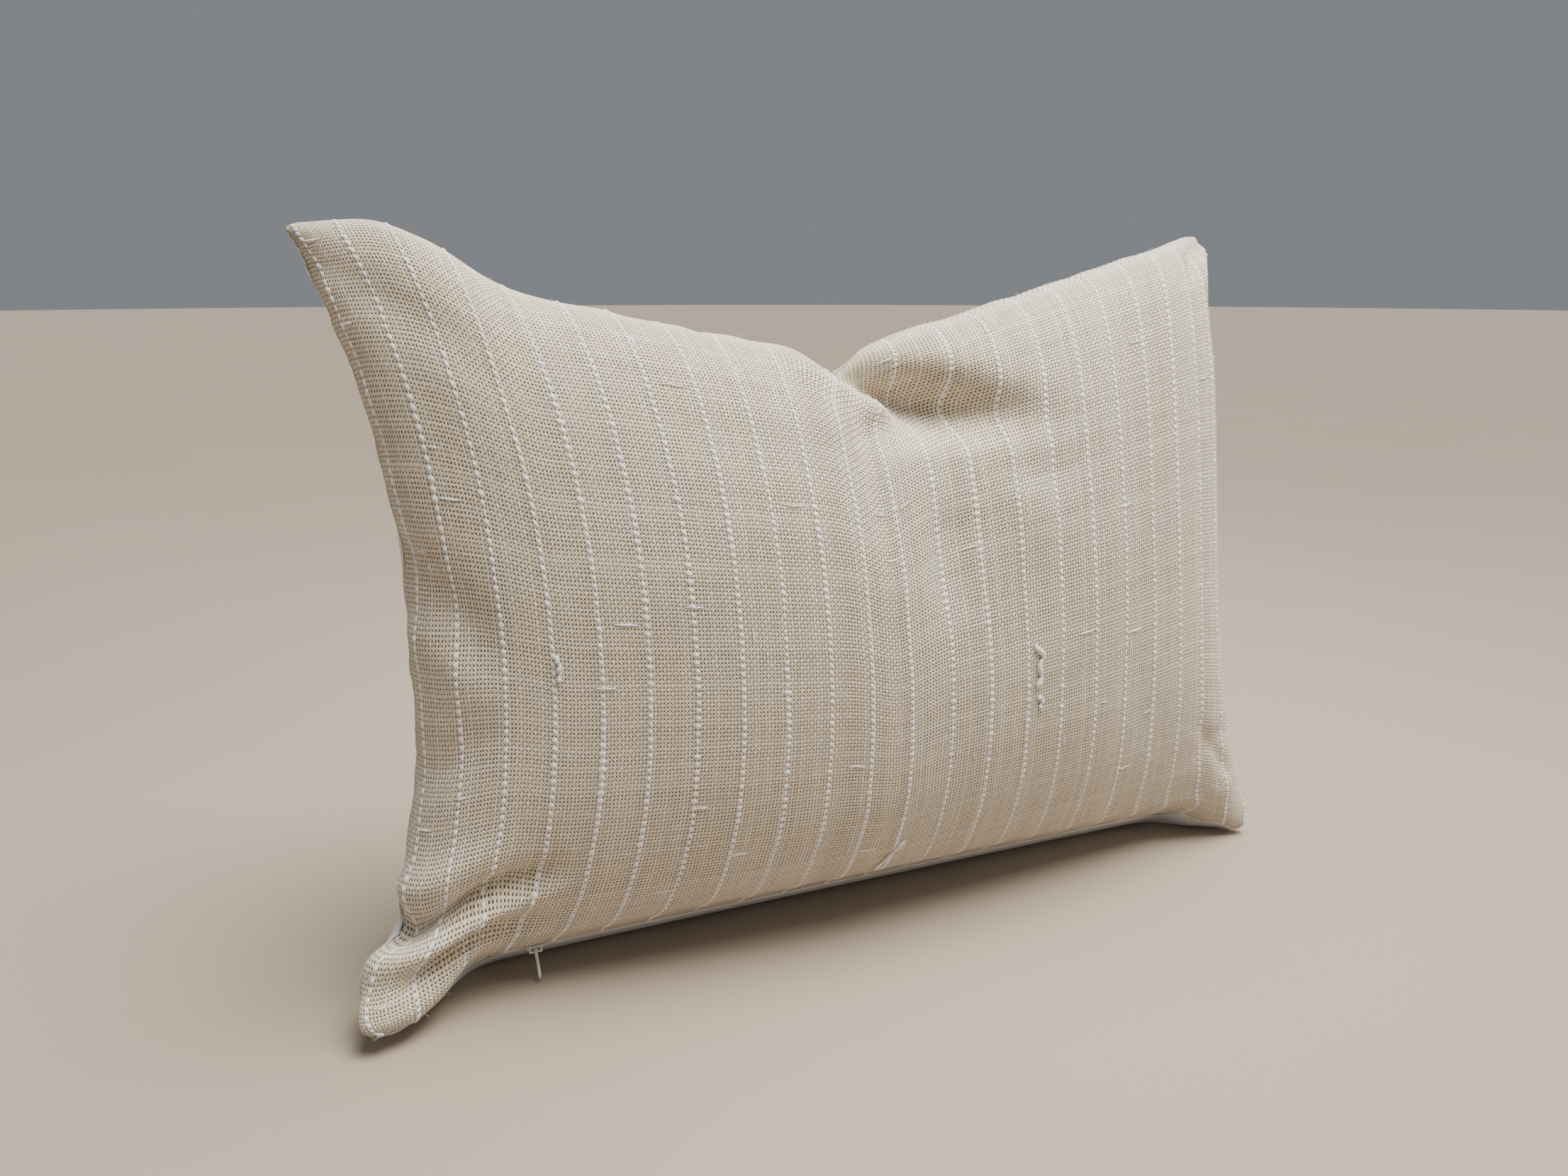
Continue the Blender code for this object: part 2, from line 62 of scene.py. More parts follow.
# The cloth as cut, seam to seam
FLAT_WIDTH = 0.508
FLAT_HEIGHT = 0.356
CELL = 0.0038               # the simulated cloth's mesh
CLOTH = 0.0009
# The stuffed shape
WIDTH = CAD_HIGH.x - CAD_LOW.x
HEIGHT = 0.352
LEAN = math.radians(9)
FRONT_BULGE = 0.068
BACK_BULGE = 0.060
LEFT_PULL = 0.034
RIGHT_PULL = 0.019
FLAP_FLARE = 0.010          # how far the bottom left corner's flap stands out
FLAP_HEIGHT = 0.020
FLAP_SOFTNESS = 0.016
EAR_START = 0.73
BOTTOM_EAR_FORWARD = 0.017
FLAP_FORWARD = 0.017        # the bottom left ear comes this much further forward
TOP_EAR_BACK = 0.020
EAR_TIP_HEIGHT = 0.0030
SAG = 0.044
SAG_FULL = 0.16             # shares of the way up the back
SAG_EASE = 0.22
SAG_END = 0.62
SIDE_CROWN = 0.80           # powers of the bulge: smaller is fuller
BACK_CROWN = 0.80
LOW_CROWN = 1.15
CROWN_CHANGE = 0.40
SIDE_HOLLOW = 2.2
FLOOR_SOFTNESS = 0.003
TABLE_CLEARANCE = 0.0004
# The chop
CHOP_X = -0.006
CHOP_FRONT_SHIFT = -0.008   # the left lobe laps over the right one
CHOP_DROP = 0.066
CHOP_EVEN_DROP = 0.014      # what is left of the drop near the left shoulder
CHOP_SLOT = 0.010
CHOP_SLOT_WIDTH = 0.016
POCKET_FOOT = 0.246         # the pocket beside the chop ends this high up the body
POCKET_HEAD = 0.288
POCKET_RUN = 0.046          # and this far to the right of the chop
LEFT_DROP_END = (0.60, 0.90)
VALLEY_STEEP = (0.009, 0.032)       # the crease's width at its head, and what is added low down
VALLEY_GENTLE = (0.030, 0.012)
VALLEY_DEPTH = 0.70
VALLEY_TAIL = 0.14
LIP_PUSH = 0.007
LIP_FORWARD = 0.003
CORNER_ROUND = 0.012
TOP_LEFT_ROUND = 0.006
# The zip
ZIP_TILT = math.radians(40)
ZIP_ZONE = 0.79
SLIT = 0.0018
COIL_TO_LIP = 0.00415       # from the coils' middle out to the slit
OPENING = (0.172, 0.180)    # from the middle: the slit is open to here, closed from there
STRAIGHT_RIM = (0.178, 0.212)
FLAT_BESIDE = (0.194, 0.214)
CLEAR_OF_ZIP = (0.190, 0.230)
ZIP_CLEARANCE = 0.013       # the insert stays this much further in behind the zip
TURN_STEPS = (0.003, 0.007, 0.0115)
ALLOWANCE_GAP = 0.0007

UP = np.array([0.0, math.sin(LEAN), math.cos(LEAN)])
FORWARD = np.array([0.0, -math.cos(LEAN), math.sin(LEAN)])
ACROSS = Vector((0.0, -math.cos(ZIP_TILT), math.sin(ZIP_TILT)))
OUT = Vector((0.0, -math.sin(ZIP_TILT), -math.cos(ZIP_TILT)))

RIDES_ON = "pillow"

# The weave
END_PITCH = 0.00167
PICK_PITCH = 0.00190
STRIPE_PITCH = 0.0222
FIRST_STRIPE = -FLAT_WIDTH / 2 + 0.0100
SLUB_HALF = 0.00112
SLUB_TALL = 0.00040
SLUB_LIFT = -0.00007
SLUB_WAVE = 0.00017
SLUB_SIDES = 6
RINGS_PER_BEAD = 6

# The simulation
PRESSURE = 5.0
FRAMES = 22
CAP = 0.008
PIN_REST = 0.14

# Threads and coils
SEAM_DEPTH = 0.0013
SEAM_THREAD = 0.00034
STITCH_PITCH = 0.0056
OVERLOCK_PITCH = 0.0028
OVERLOCK_GAP = 0.0013
OVERLOCK_THREAD = 0.00018
OVERLOCK_NEAR = 0.0080
OVERLOCK_FAR = 0.0118
COIL_PITCH = 0.00125
COIL_WIDE = 0.00068
COIL_TALL = 0.00052
COIL_WIRE = 0.00020

# The insert
INSERT_EDGE = 0.015
INSERT_GAP = 0.0045
INSERT_CLOTH = 0.0006
FILL_EDGE = 0.019
FILL_GAP = 0.0072

LAMP_COLOUR = (1.0, 0.97, 0.92)


def smooth(edge0, edge1, value):
    """0 below edge0, 1 above edge1, with a smooth rise between; works on arrays."""
    share = np.clip((value - edge0) / (edge1 - edge0), 0.0, 1.0)
    return share * share * (3 - 2 * share)


def zip_line():
    """The middle of the slit in the bottom seam, from the coils' places in the frame."""
    low_front, high_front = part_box("zipper_coil_front")
    low_back, high_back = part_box("zipper_coil_back")
    coils = (low_front + high_front + low_back + high_back) / 4
    return coils + OUT * COIL_TO_LIP


ZIP_LINE = zip_line()
SEAM_RISE = (ZIP_LINE.z - EAR_TIP_HEIGHT + BOTTOM_EAR_FORWARD * math.sin(LEAN)) / math.cos(LEAN)
ORIGIN = np.array([0.0, ZIP_LINE.y, ZIP_LINE.z]) - UP * SEAM_RISE


# ---- The stuffed cover -----------------------------------------------------

def arc_table(reach, bulge):
    """Turn for each share of the way along a half ellipse, as a lookup."""
    turn = np.linspace(-1, 1, 801)
    angle = turn * math.pi / 2
    rate = np.sqrt((reach * np.cos(angle)) ** 2 + (bulge * np.sin(angle)) ** 2)
    length = np.concatenate(([0], np.cumsum((rate[1:] + rate[:-1]) / 2)))
    return length / length[-1] * 2 - 1, turn


def outline(side, rise):
    """Across and height of the seam plane's points."""
    hollow = 1 - np.abs(2 * rise - 1) ** SIDE_HOLLOW
    pull = np.where(side < 0, LEFT_PULL, RIGHT_PULL) * hollow
    flap = np.exp(-((rise * HEIGHT - FLAP_HEIGHT) / FLAP_SOFTNESS) ** 2)
    pull = pull - np.where(side < 0, FLAP_FLARE, 0.0) * flap * np.abs(side) ** 6
    across = side * (WIDTH / 2 - pull)
    bottom = SEAM_RISE * (1 - smooth(ZIP_ZONE, 1.0, np.abs(side)))
    off_centre = np.abs(across - CHOP_X)
    share = off_centre / (WIDTH / 2 + CHOP_X)
    left_drop = (CHOP_DROP - (CHOP_DROP - CHOP_EVEN_DROP) * share) * (1 - smooth(*LEFT_DROP_END, share))
    drop = np.where(across < CHOP_X, left_drop, CHOP_DROP * (1 - share))
    slot = CHOP_SLOT * np.exp(-(off_centre / CHOP_SLOT_WIDTH) ** 2)
    top = HEIGHT - drop - slot
    return across, bottom + (top - bottom) * rise


def ear_offset(side, rise):
    corner = smooth(EAR_START, 1.0, np.abs(side)) * np.abs(2 * rise - 1) ** 3
    bottom = BOTTOM_EAR_FORWARD + np.where(side < 0, FLAP_FORWARD, 0.0)
    return corner * np.where(rise < 0.5, bottom, -TOP_EAR_BACK)


def rounded(across, height):
    """Round the corner tips: a square corner block is drawn in to a quarter disc."""
    for along, rising in ((1, 1), (-1, 1), (1, -1), (-1, -1)):
        reach = TOP_LEFT_ROUND if along < 0 < rising else CORNER_ROUND
        base = HEIGHT - reach if rising > 0 else reach
        right = across * along - (WIDTH / 2 - reach)
        up = (height - base) * rising
        both = (right > 0) & (up > 0)
        far = np.maximum(np.hypot(right, up), 1e-9)
        share = np.where(both, np.maximum(right, up) / far, 1.0)
        across = np.where(both, along * (WIDTH / 2 - reach + right * share), across)
        height = np.where(both, base + rising * up * share, height)
    return across, height


def crease_distance(across, height, front):
    """How far to the right of the chop's crease a place is, and how deep the crease is there."""
    wander = POCKET_RUN * (1 - smooth(POCKET_FOOT, POCKET_HEAD, height)) if front else 0.0
    beside = across - CHOP_X - wander - (CHOP_FRONT_SHIFT if front else 0.0)
    pocket = smooth(POCKET_FOOT - 0.012, POCKET_FOOT + 0.018, height)
    return beside * (1 - 0.25 * pocket), pocket


def valley(across, height, front):
    """How much of the bulge the chop's crease takes, and a pin weight to hold it there."""
    beside, pocket = crease_distance(across, height, front)
    steep = VALLEY_STEEP[0] + VALLEY_STEEP[1] * (1 - pocket)
    gentle = VALLEY_GENTLE[0] + VALLEY_GENTLE[1] * (1 - pocket)
    near = np.exp(-(beside / np.where(beside < 0, steep, gentle)) ** 2)
    depth = VALLEY_DEPTH * pocket + VALLEY_TAIL * smooth(0.12, POCKET_FOOT, height)
    return depth * near, near * pocket


def lap(across, height):
    """The left lobe's lip leans over the pocket: a push to the right and forward."""
    beside, pocket = crease_distance(across, height, True)
    return pocket * np.exp(-((beside + 0.012) / 0.010) ** 2)


# Folds of the settled cloth, on flat-cloth places: path, half width, height (minus is a groove)
FRONT_FOLDS = (
    (((-0.252, 0.058), (-0.225, 0.058), (-0.195, 0.062), (-0.160, 0.074)), 0.0062, -0.0100),
    (((-0.250, 0.073), (-0.220, 0.077), (-0.190, 0.082)), 0.0085, 0.0040),
    (((-0.252, 0.046), (-0.215, 0.047), (-0.180, 0.053), (-0.150, 0.063)), 0.0055, 0.0050),
    (((-0.236, 0.034), (-0.200, 0.036), (-0.164, 0.042)), 0.0050, -0.0065),
    (((-0.250, 0.020), (-0.215, 0.019), (-0.180, 0.020)), 0.0110, 0.0040),
    (((-0.238, 0.004), (-0.222, 0.009)), 0.0050, -0.0025),
    (((-0.250, 0.204), (-0.225, 0.190), (-0.195, 0.160)), 0.0110, -0.0035),
    (((-0.250, 0.172), (-0.228, 0.164), (-0.200, 0.140)), 0.0100, 0.0020),
    (((-0.248, 0.118), (-0.220, 0.126), (-0.196, 0.146)), 0.0090, -0.0018),
    (((-0.246, 0.326), (-0.215, 0.302), (-0.170, 0.286)), 0.0120, -0.0020),
    (((0.236, 0.346), (0.218, 0.330), (0.206, 0.308)), 0.0060, -0.0038),
    (((0.250, 0.334), (0.232, 0.322), (0.224, 0.300)), 0.0060, 0.0022),
    (((0.250, 0.316), (0.240, 0.300), (0.238, 0.270)), 0.0060, -0.0025),
    (((0.190, 0.088), (0.216, 0.062), (0.240, 0.040)), 0.0050, -0.0022),
    (((0.182, 0.052), (0.212, 0.072), (0.244, 0.084)), 0.0050, -0.0018),
    (((0.206, 0.026), (0.228, 0.050), (0.246, 0.056)), 0.0060, 0.0018),
    (((0.034, 0.246), (0.026, 0.214), (0.030, 0.176)), 0.0130, -0.0030),
    (((0.060, 0.262), (0.074, 0.226), (0.078, 0.190)), 0.0140, 0.0022),
    (((0.046, 0.252), (0.092, 0.240), (0.130, 0.246)), 0.0100, -0.0016),
)
BACK_FOLDS = (
    (((-0.252, 0.040), (-0.244, 0.056), (-0.230, 0.070)), 0.0120, 0.0040),
    (((-0.250, 0.030), (-0.215, 0.050), (-0.180, 0.056)), 0.0060, -0.0055),
    (((0.250, 0.030), (0.215, 0.048), (0.180, 0.054)), 0.0060, -0.0050),
    (((-0.120, 0.040), (-0.020, 0.052), (0.110, 0.044)), 0.0090, -0.0030),
    (((-0.240, 0.330), (-0.205, 0.300), (-0.180, 0.262)), 0.0080, -0.0035),
    (((0.240, 0.330), (0.208, 0.304), (0.190, 0.268)), 0.0080, -0.0035),
    (((0.008, 0.300), (0.004, 0.262), (0.012, 0.210)), 0.0100, -0.0060),
    (((-0.250, 0.180), (-0.215, 0.172), (-0.180, 0.180)), 0.0080, -0.0025),
    (((0.250, 0.190), (0.214, 0.184), (0.184, 0.196)), 0.0080, -0.0025),
)


def fold(u, v, path, width, height):
    """A ridge or groove along a path, dying away towards the path's ends."""
    best = np.full(u.shape, 1e9)
    share = np.zeros(u.shape)
    lengths = [math.dist(a, b) for a, b in zip(path, path[1:])]
    done = 0.0
    for (ax, ay), (bx, by), length in zip(path, path[1:], lengths):
        along = ((u - ax) * (bx - ax) + (v - ay) * (by - ay)) / length ** 2
        held = np.clip(along, 0, 1)
        away = np.hypot(u - ax - (bx - ax) * held, v - ay - (by - ay) * held)
        nearer = away < best
        best = np.where(nearer, away, best)
        share = np.where(nearer, (done + held * length) / sum(lengths), share)
        done += length
    at_rim = 1.0 if abs(path[0][0]) > 0.245 else 0.0
    begin = np.maximum(smooth(0.0, 0.30, share), at_rim)
    return height * begin * (1 - smooth(0.55, 1.0, share)) * np.exp(-(best / width) ** 2)


def puckers(u, v, rng, slack):
    """Small gathers that run in from the seams, and the slack cloth's slow waves."""
    lift = np.zeros(u.shape)
    edges = (
        (u + FLAT_WIDTH / 2, v), (FLAT_WIDTH / 2 - u, v),
        (v, u), (FLAT_HEIGHT - v, u),
    )
    for away, along in edges:
        knots = np.arange(-0.30, 0.42, 0.0085)
        values = rng.standard_normal(len(knots))
        wave = np.interp(along, knots, values)
        lift += slack * 0.0008 * wave * np.exp(-(away / 0.011) ** 1.5)
    for _ in range(26):
        centre = rng.uniform((-0.24, 0.02), (0.24, 0.34))
        angle = rng.uniform(0, math.pi)
        along = (u - centre[0]) * math.cos(angle) + (v - centre[1]) * math.sin(angle)
        beside = (v - centre[1]) * math.cos(angle) - (u - centre[0]) * math.sin(angle)
        spread = rng.uniform(0.012, 0.022)
        size = slack * rng.uniform(-1, 1) * 0.0011
        lift += size * np.exp(-(along / (spread * 2.6)) ** 2 - (beside / spread) ** 2)
    return lift


def cover_grid(front):
    """Points of one panel over a grid of flat cloth, with its pin weights."""
    columns = round(FLAT_WIDTH / CELL / 2) * 2
    rows = round(FLAT_HEIGHT / CELL / 2) * 2
    share_u, turn_u = arc_table(WIDTH / 2, FRONT_BULGE)
    share_v, turn_v = arc_table(HEIGHT / 2, FRONT_BULGE)
    turn = np.interp(np.linspace(-1, 1, columns + 1), share_u, turn_u)[:, None]
    lift = np.interp(np.linspace(-1, 1, rows + 1), share_v, turn_v)[None, :] / 2 + 0.5
    turn, lift = np.broadcast_arrays(turn, lift)
    side = np.sin(turn * math.pi / 2)
    rise = (1 - np.cos(math.pi * lift)) / 2
    across, height = outline(side, rise)
    fullness = np.maximum(np.cos(turn * math.pi / 2), 0) ** SIDE_CROWN
    arch = np.maximum(np.sin(math.pi * lift), 0)
    across, height = rounded(across, height)
    taken, held = valley(across, height, front)
    fullness = fullness * (1 - taken)
    forward = ear_offset(side, rise)
    if front:
        bulge = FRONT_BULGE * fullness * arch ** (LOW_CROWN - CROWN_CHANGE * smooth(0.1, 0.5, lift))
        lip = lap(across, height) * np.minimum(bulge / 0.03, 1)
        across = across + LIP_PUSH * lip
        forward = forward + bulge + LIP_FORWARD * lip
    else:
        bulge = BACK_BULGE * fullness * arch ** BACK_CROWN
        low = smooth(0.0, SAG_FULL, lift) * (1 - smooth(SAG_EASE, SAG_END, lift))
        height = height - SAG * low * fullness
        forward = forward - bulge
    points = (ORIGIN + across[..., None] * np.array([1.0, 0, 0])
              + height[..., None] * UP + forward[..., None] * FORWARD)
    soft = FLOOR_SOFTNESS
    z = points[..., 2]
    points[..., 2] = np.where(z >= soft, z, np.where(z <= -soft, 0, (z + soft) ** 2 / (4 * soft)))
    return points, np.clip(held, 0, 1)


def grid_faces(index, outward):
    """Quads over a grid of point numbers, facing forward or, when outward is minus, back."""
    a, b, c, d = index[:-1, :-1], index[1:, :-1], index[1:, 1:], index[:-1, 1:]
    ring = (a, b, c, d) if outward > 0 else (a, d, c, b)
    return np.stack(ring, -1).reshape(-1, 4)


def joined_faces(nu, nv):
    """Faces of a front and a back grid that share their rim, and which places are inside it."""
    inner = np.zeros((nu, nv), bool)
    inner[1:-1, 1:-1] = True
    index_front = np.arange(nu * nv).reshape(nu, nv)
    index_back = index_front.copy()
    index_back[inner] = nu * nv + np.arange(inner.sum())
    return np.concatenate([grid_faces(index_front, 1.0), grid_faces(index_back, -1.0)]), inner


def cover_mesh():
    """Front and back panels sewn into one closed mesh, with flat-cloth coordinates."""
    front, hold_front = cover_grid(True)
    back, hold_back = cover_grid(False)
    nu, nv = front.shape[:2]
    quads, inner = joined_faces(nu, nv)
    u = np.linspace(-FLAT_WIDTH / 2, FLAT_WIDTH / 2, nu)
    v = np.linspace(0, FLAT_HEIGHT, nv)
    flat_u, flat_v = np.meshgrid(u, v, indexing="ij")
    flat = np.stack([flat_u, np.zeros_like(flat_u), flat_v], -1)
    return {
        "points": np.concatenate([front.reshape(-1, 3), back[inner]]),
        "rest": np.concatenate([flat.reshape(-1, 3), flat[inner]]),
        "hold": np.concatenate([hold_front.reshape(-1), hold_back[inner]]),
        "quads": quads, "rim": np.flatnonzero(~inner.reshape(-1)),
        "flat_u": flat_u.reshape(-1), "flat_v": flat_v.reshape(-1), "shape": (nu, nv),
    }


def mesh_object(name, points, quads, uv=None):
    data = bpy.data.meshes.new(name)
    data.from_pydata(points.tolist(), [], quads.tolist())
    if uv is not None:
        layer = data.uv_layers.new(name="cloth")
        layer.data.foreach_set("uv", np.asarray(uv, np.float32).reshape(-1))
    data.shade_smooth()
    thing = bpy.data.objects.new(name, data)
    bpy.context.scene.collection.objects.link(thing)
    return thing


def only(thing):
    """Make this the only selected and the active object."""
    bpy.ops.object.select_all(action="DESELECT")
    thing.select_set(True)
    bpy.context.view_layer.objects.active = thing


def stuff_cover(cover):
    """Let the sewn cloth settle round its stuffing, and return the settled points."""
    thing = mesh_object("cover_sim", cover["points"], cover["quads"])
    count = len(cover["points"])
    weights = np.maximum(PIN_REST, cover["hold"])
    rim = cover["rim"]
    weights[rim] = 0.80
    straight = rim[(cover["flat_v"][rim] < 1e-6) & (np.abs(cover["flat_u"][rim]) < 0.21)]
    weights[straight] = 1.0
    floor = cover["points"][:, 2] < 0.0005
    weights[floor] = 1.0
    group = thing.vertex_groups.new(name="held")
    for level in np.unique(np.round(weights, 2)):
        chosen = np.flatnonzero(np.round(weights, 2) == level)
        group.add([int(n) for n in chosen], float(level), "REPLACE")
    thing.shape_key_add(name="Basis")
    flat_key = thing.shape_key_add(name="flat")
    flat_key.data.foreach_set("co", cover["rest"].astype(np.float32).reshape(-1))
    cloth = thing.modifiers.new("cloth", "CLOTH")
    settings = cloth.settings
    settings.rest_shape_key = flat_key
    settings.quality = 6
    settings.mass = 0.1
    settings.air_damping = 1
    settings.tension_stiffness = 25
    settings.compression_stiffness = 25
    settings.shear_stiffness = 6
    settings.bending_stiffness = 0.15
    settings.use_pressure = True
    settings.uniform_pressure_force = PRESSURE
    settings.vertex_group_mass = "held"
    settings.pin_stiffness = 1.0
    settings.effector_weights.gravity = 0
    cloth.collision_settings.use_collision = False
    cloth.point_cache.frame_end = FRAMES
    for number in range(1, FRAMES + 1):
        bpy.context.scene.frame_set(number)
    shown = thing.evaluated_get(bpy.context.evaluated_depsgraph_get())
    settled = np.zeros(count * 3, np.float32)
    shown.data.vertices.foreach_get("co", settled)
    settled = settled.reshape(-1, 3).astype(float)
    move = settled - cover["points"]
    far = np.linalg.norm(move, axis=1, keepdims=True)
    settled = cover["points"] + move * np.minimum(1, CAP / np.maximum(far, 1e-9))
    settled[:, 2] = np.maximum(settled[:, 2], 0)
    bpy.data.objects.remove(thing)
    bpy.context.scene.frame_set(1)
    return settled


def grid_normals(grid):
    """Outward normals of the front's grid; the back's are turned over by its caller."""
    along_u = np.gradient(grid, axis=0)
    along_v = np.gradient(grid, axis=1)
    normal = np.cross(along_u, along_v)
    return normal / np.maximum(np.linalg.norm(normal, axis=2, keepdims=True), 1e-12)


def crumple(grid, u, v, folds, seed, outward, slack):
    """Lay the folds and puckers into one settled panel."""
    lift = puckers(u, v, np.random.default_rng(seed), slack)
    for path, width, height in folds:
        lift = lift + fold(u, v, path, width, height)
    normal = grid_normals(grid) * outward
    moved = grid + normal * lift[..., None]
    moved[..., 2] = np.maximum(moved[..., 2], 0.0)
    return moved


def build_cover():
    """The settled front and back panels, as pieces and as grids."""
    cover = cover_mesh()
    settled = stuff_cover(cover)
    nu, nv = cover["shape"]
    u = cover["flat_u"].reshape(nu, nv)
    v = cover["flat_v"].reshape(nu, nv)
    front = settled[:nu * nv].reshape(nu, nv, 3)
    back = front.copy()
    back[1:-1, 1:-1] = settled[nu * nv:].reshape(nu - 2, nv - 2, 3)
    front = crumple(front, u, v, FRONT_FOLDS, 3, 1.0, 1.0)
    back = crumple(back, u, v, BACK_FOLDS, 8, -1.0, 1.5)
    middle = (front + back) / 2
    for edge in (np.s_[0, :], np.s_[-1, :], np.s_[:, 0], np.s_[:, -1]):
        front[edge] = back[edge] = middle[edge]
    rim = ((front[:, 0] + back[:, 0]) / 2).copy()
    straight = (1 - smooth(*STRAIGHT_RIM, np.abs(u[:, 0])))[:, None]
    on_line = rim * np.array([1.0, 0, 0]) + np.array([0, ZIP_LINE.y, ZIP_LINE.z])
    rim = rim * (1 - straight) + on_line * straight
    front = beside_zip(front, rim, u, v, 1.0)
    back = beside_zip(back, rim, u, v, -1.0)
    pieces = [panel_piece("front_panel_cloth", front, back, u, v, 1.0),
              panel_piece("back_panel_cloth", front, back, u, v, -1.0)]
    return pieces, front, back


def beside_zip(grid, rim, u, v, outward):
    """Lay the cloth flat beside the zip's slit, and open the slit itself."""
    slit = SLIT / 2 * in_zip(u, v)
    reach = outward * (v + slit)[..., None] * np.array(ACROSS)
    flat = rim[:, None] + reach
    flat[..., 2] = np.maximum(flat[..., 2], 0.0)
    share = (1 - smooth(*FLAT_BESIDE, np.abs(u))) * (1 - smooth(0.012, 0.036, v))
    return grid * (1 - share[..., None]) + flat * share[..., None]


def rim_loop(nu, nv):
    """Grid places once round the edge."""
    bottom = [(i, 0) for i in range(nu)]
    right = [(nu - 1, j) for j in range(1, nv)]
    top = [(i, nv - 1) for i in range(nu - 2, -1, -1)]
    left = [(0, j) for j in range(nv - 2, 0, -1)]
    return np.array(bottom + right + top + left)


def in_zip(u, v):
    """1 along the zip's opening in the bottom seam, 0 elsewhere."""
    return (1 - smooth(*OPENING, np.abs(u))) * (v < 1e-6)


def turned_in(front, back, u, v, depth, outward, gap):
    """Places of the turned-in edge at a depth from the seam, on one panel's side."""
    depth = np.broadcast_to(depth, u.shape)
    held_u = np.clip(u, -FLAT_WIDTH / 2 + depth, FLAT_WIDTH / 2 - depth)
    held_v = np.clip(v, depth, FLAT_HEIGHT - depth)
    on_front = on_cloth(front, held_u, held_v)[0]
    on_back = on_cloth(back, held_u, held_v)[0]
    half = (on_front - on_back) / 2
    size = np.maximum(np.linalg.norm(half, axis=-1, keepdims=True), 1e-9)
    inside = (on_front + on_back) / 2 + outward * half * np.minimum(gap / size, 0.5)
    rim = (on_cloth(front, u, v)[0] + on_cloth(back, u, v)[0]) / 2
    spread = SLIT / 2 + gap - ALLOWANCE_GAP
    lip = rim - np.array(OUT) * depth[:, None] + outward * np.array(ACROSS) * spread
    share = in_zip(u, v)[:, None]
    return inside * (1 - share) + lip * share


def panel_piece(name, front, back, u, v, outward):
    """One panel, with its edges turned in, given a cloth's thickness."""
    grid = front if outward > 0 else back
    nu, nv = u.shape
    index = np.arange(nu * nv).reshape(nu, nv)
    loop = rim_loop(nu, nv)
    rim_u, rim_v = u[tuple(loop.T)], v[tuple(loop.T)]
    rows = [index[tuple(loop.T)]]
    points, flat = [grid.reshape(-1, 3)], [np.stack([u, v], -1).reshape(-1, 2)]
    for number, depth in enumerate(TURN_STEPS):
        points.append(turned_in(front, back, rim_u, rim_v, depth, outward, ALLOWANCE_GAP))
        flat.append(np.stack([rim_u + depth * np.sign(rim_u), rim_v - depth], -1))
        rows.append(nu * nv + number * len(loop) + np.arange(len(loop)))
    rows = np.array(rows)
    beside = np.roll(rows, -1, axis=1)
    ring = (rows[:-1], rows[1:], beside[1:], beside[:-1])
    ring = ring if outward > 0 else ring[::-1]
    quads = np.concatenate([grid_faces(index, outward), np.stack(ring, -1).reshape(-1, 4)])
    flat = np.concatenate(flat)
    piece = mesh_object(name, np.concatenate(points), quads, flat[quads])
    refine(piece)
    return piece


def on_cloth(grid, u, v):
    """Points of the smooth cloth over a grid at flat places, with both directions along it."""
    places, rates, cells = [], [], []
    for flat, low, size, count in (
            (u, -FLAT_WIDTH / 2, FLAT_WIDTH, grid.shape[0]), (v, 0.0, FLAT_HEIGHT, grid.shape[1])):
        place = (np.asarray(flat, float) - low) / size * (count - 1)
        cell = np.clip(np.floor(place).astype(int), 0, count - 2)
        t = place - cell
        places.append(np.stack([(1 - t) ** 3, 3 * t ** 3 - 6 * t ** 2 + 4,
                                -3 * t ** 3 + 3 * t ** 2 + 3 * t + 1, t ** 3], -1) / 6)
        rates.append(np.stack([-(1 - t) ** 2, 3 * t ** 2 - 4 * t,
                               -3 * t ** 2 + 2 * t + 1, t ** 2], -1) / 2)
        cells.append(np.clip(cell[..., None] + np.arange(-1, 3), 0, count - 1))
    block = grid[cells[0][..., :, None], cells[1][..., None, :]]
    blend = "...i,...j,...ijk->...k"
    point = np.einsum(blend, places[0], places[1], block)
    along_u = np.einsum(blend, rates[0], places[1], block)
    along_v = np.einsum(blend, places[0], rates[1], block)
    return point, unit(along_u), unit(along_v)


def unit(vectors):
    return vectors / np.maximum(np.linalg.norm(vectors, axis=-1, keepdims=True), 1e-12)


def thicken(piece, thickness):
    """Give a single layer its cloth's thickness, inwards."""
    only(piece)
    wall = piece.modifiers.new("cloth", "SOLIDIFY")
    wall.thickness = thickness
    wall.offset = -1
    bpy.ops.object.modifier_apply(modifier=wall.name)


def refine(piece):
    """Smooth a panel's grid once, and make it cloth."""
    only(piece)
    divide = piece.modifiers.new("fine", "SUBSURF")
    divide.levels = divide.render_levels = 1
    bpy.ops.object.modifier_apply(modifier=divide.name)
    thicken(piece, CLOTH)


# ---- Materials -------------------------------------------------------------

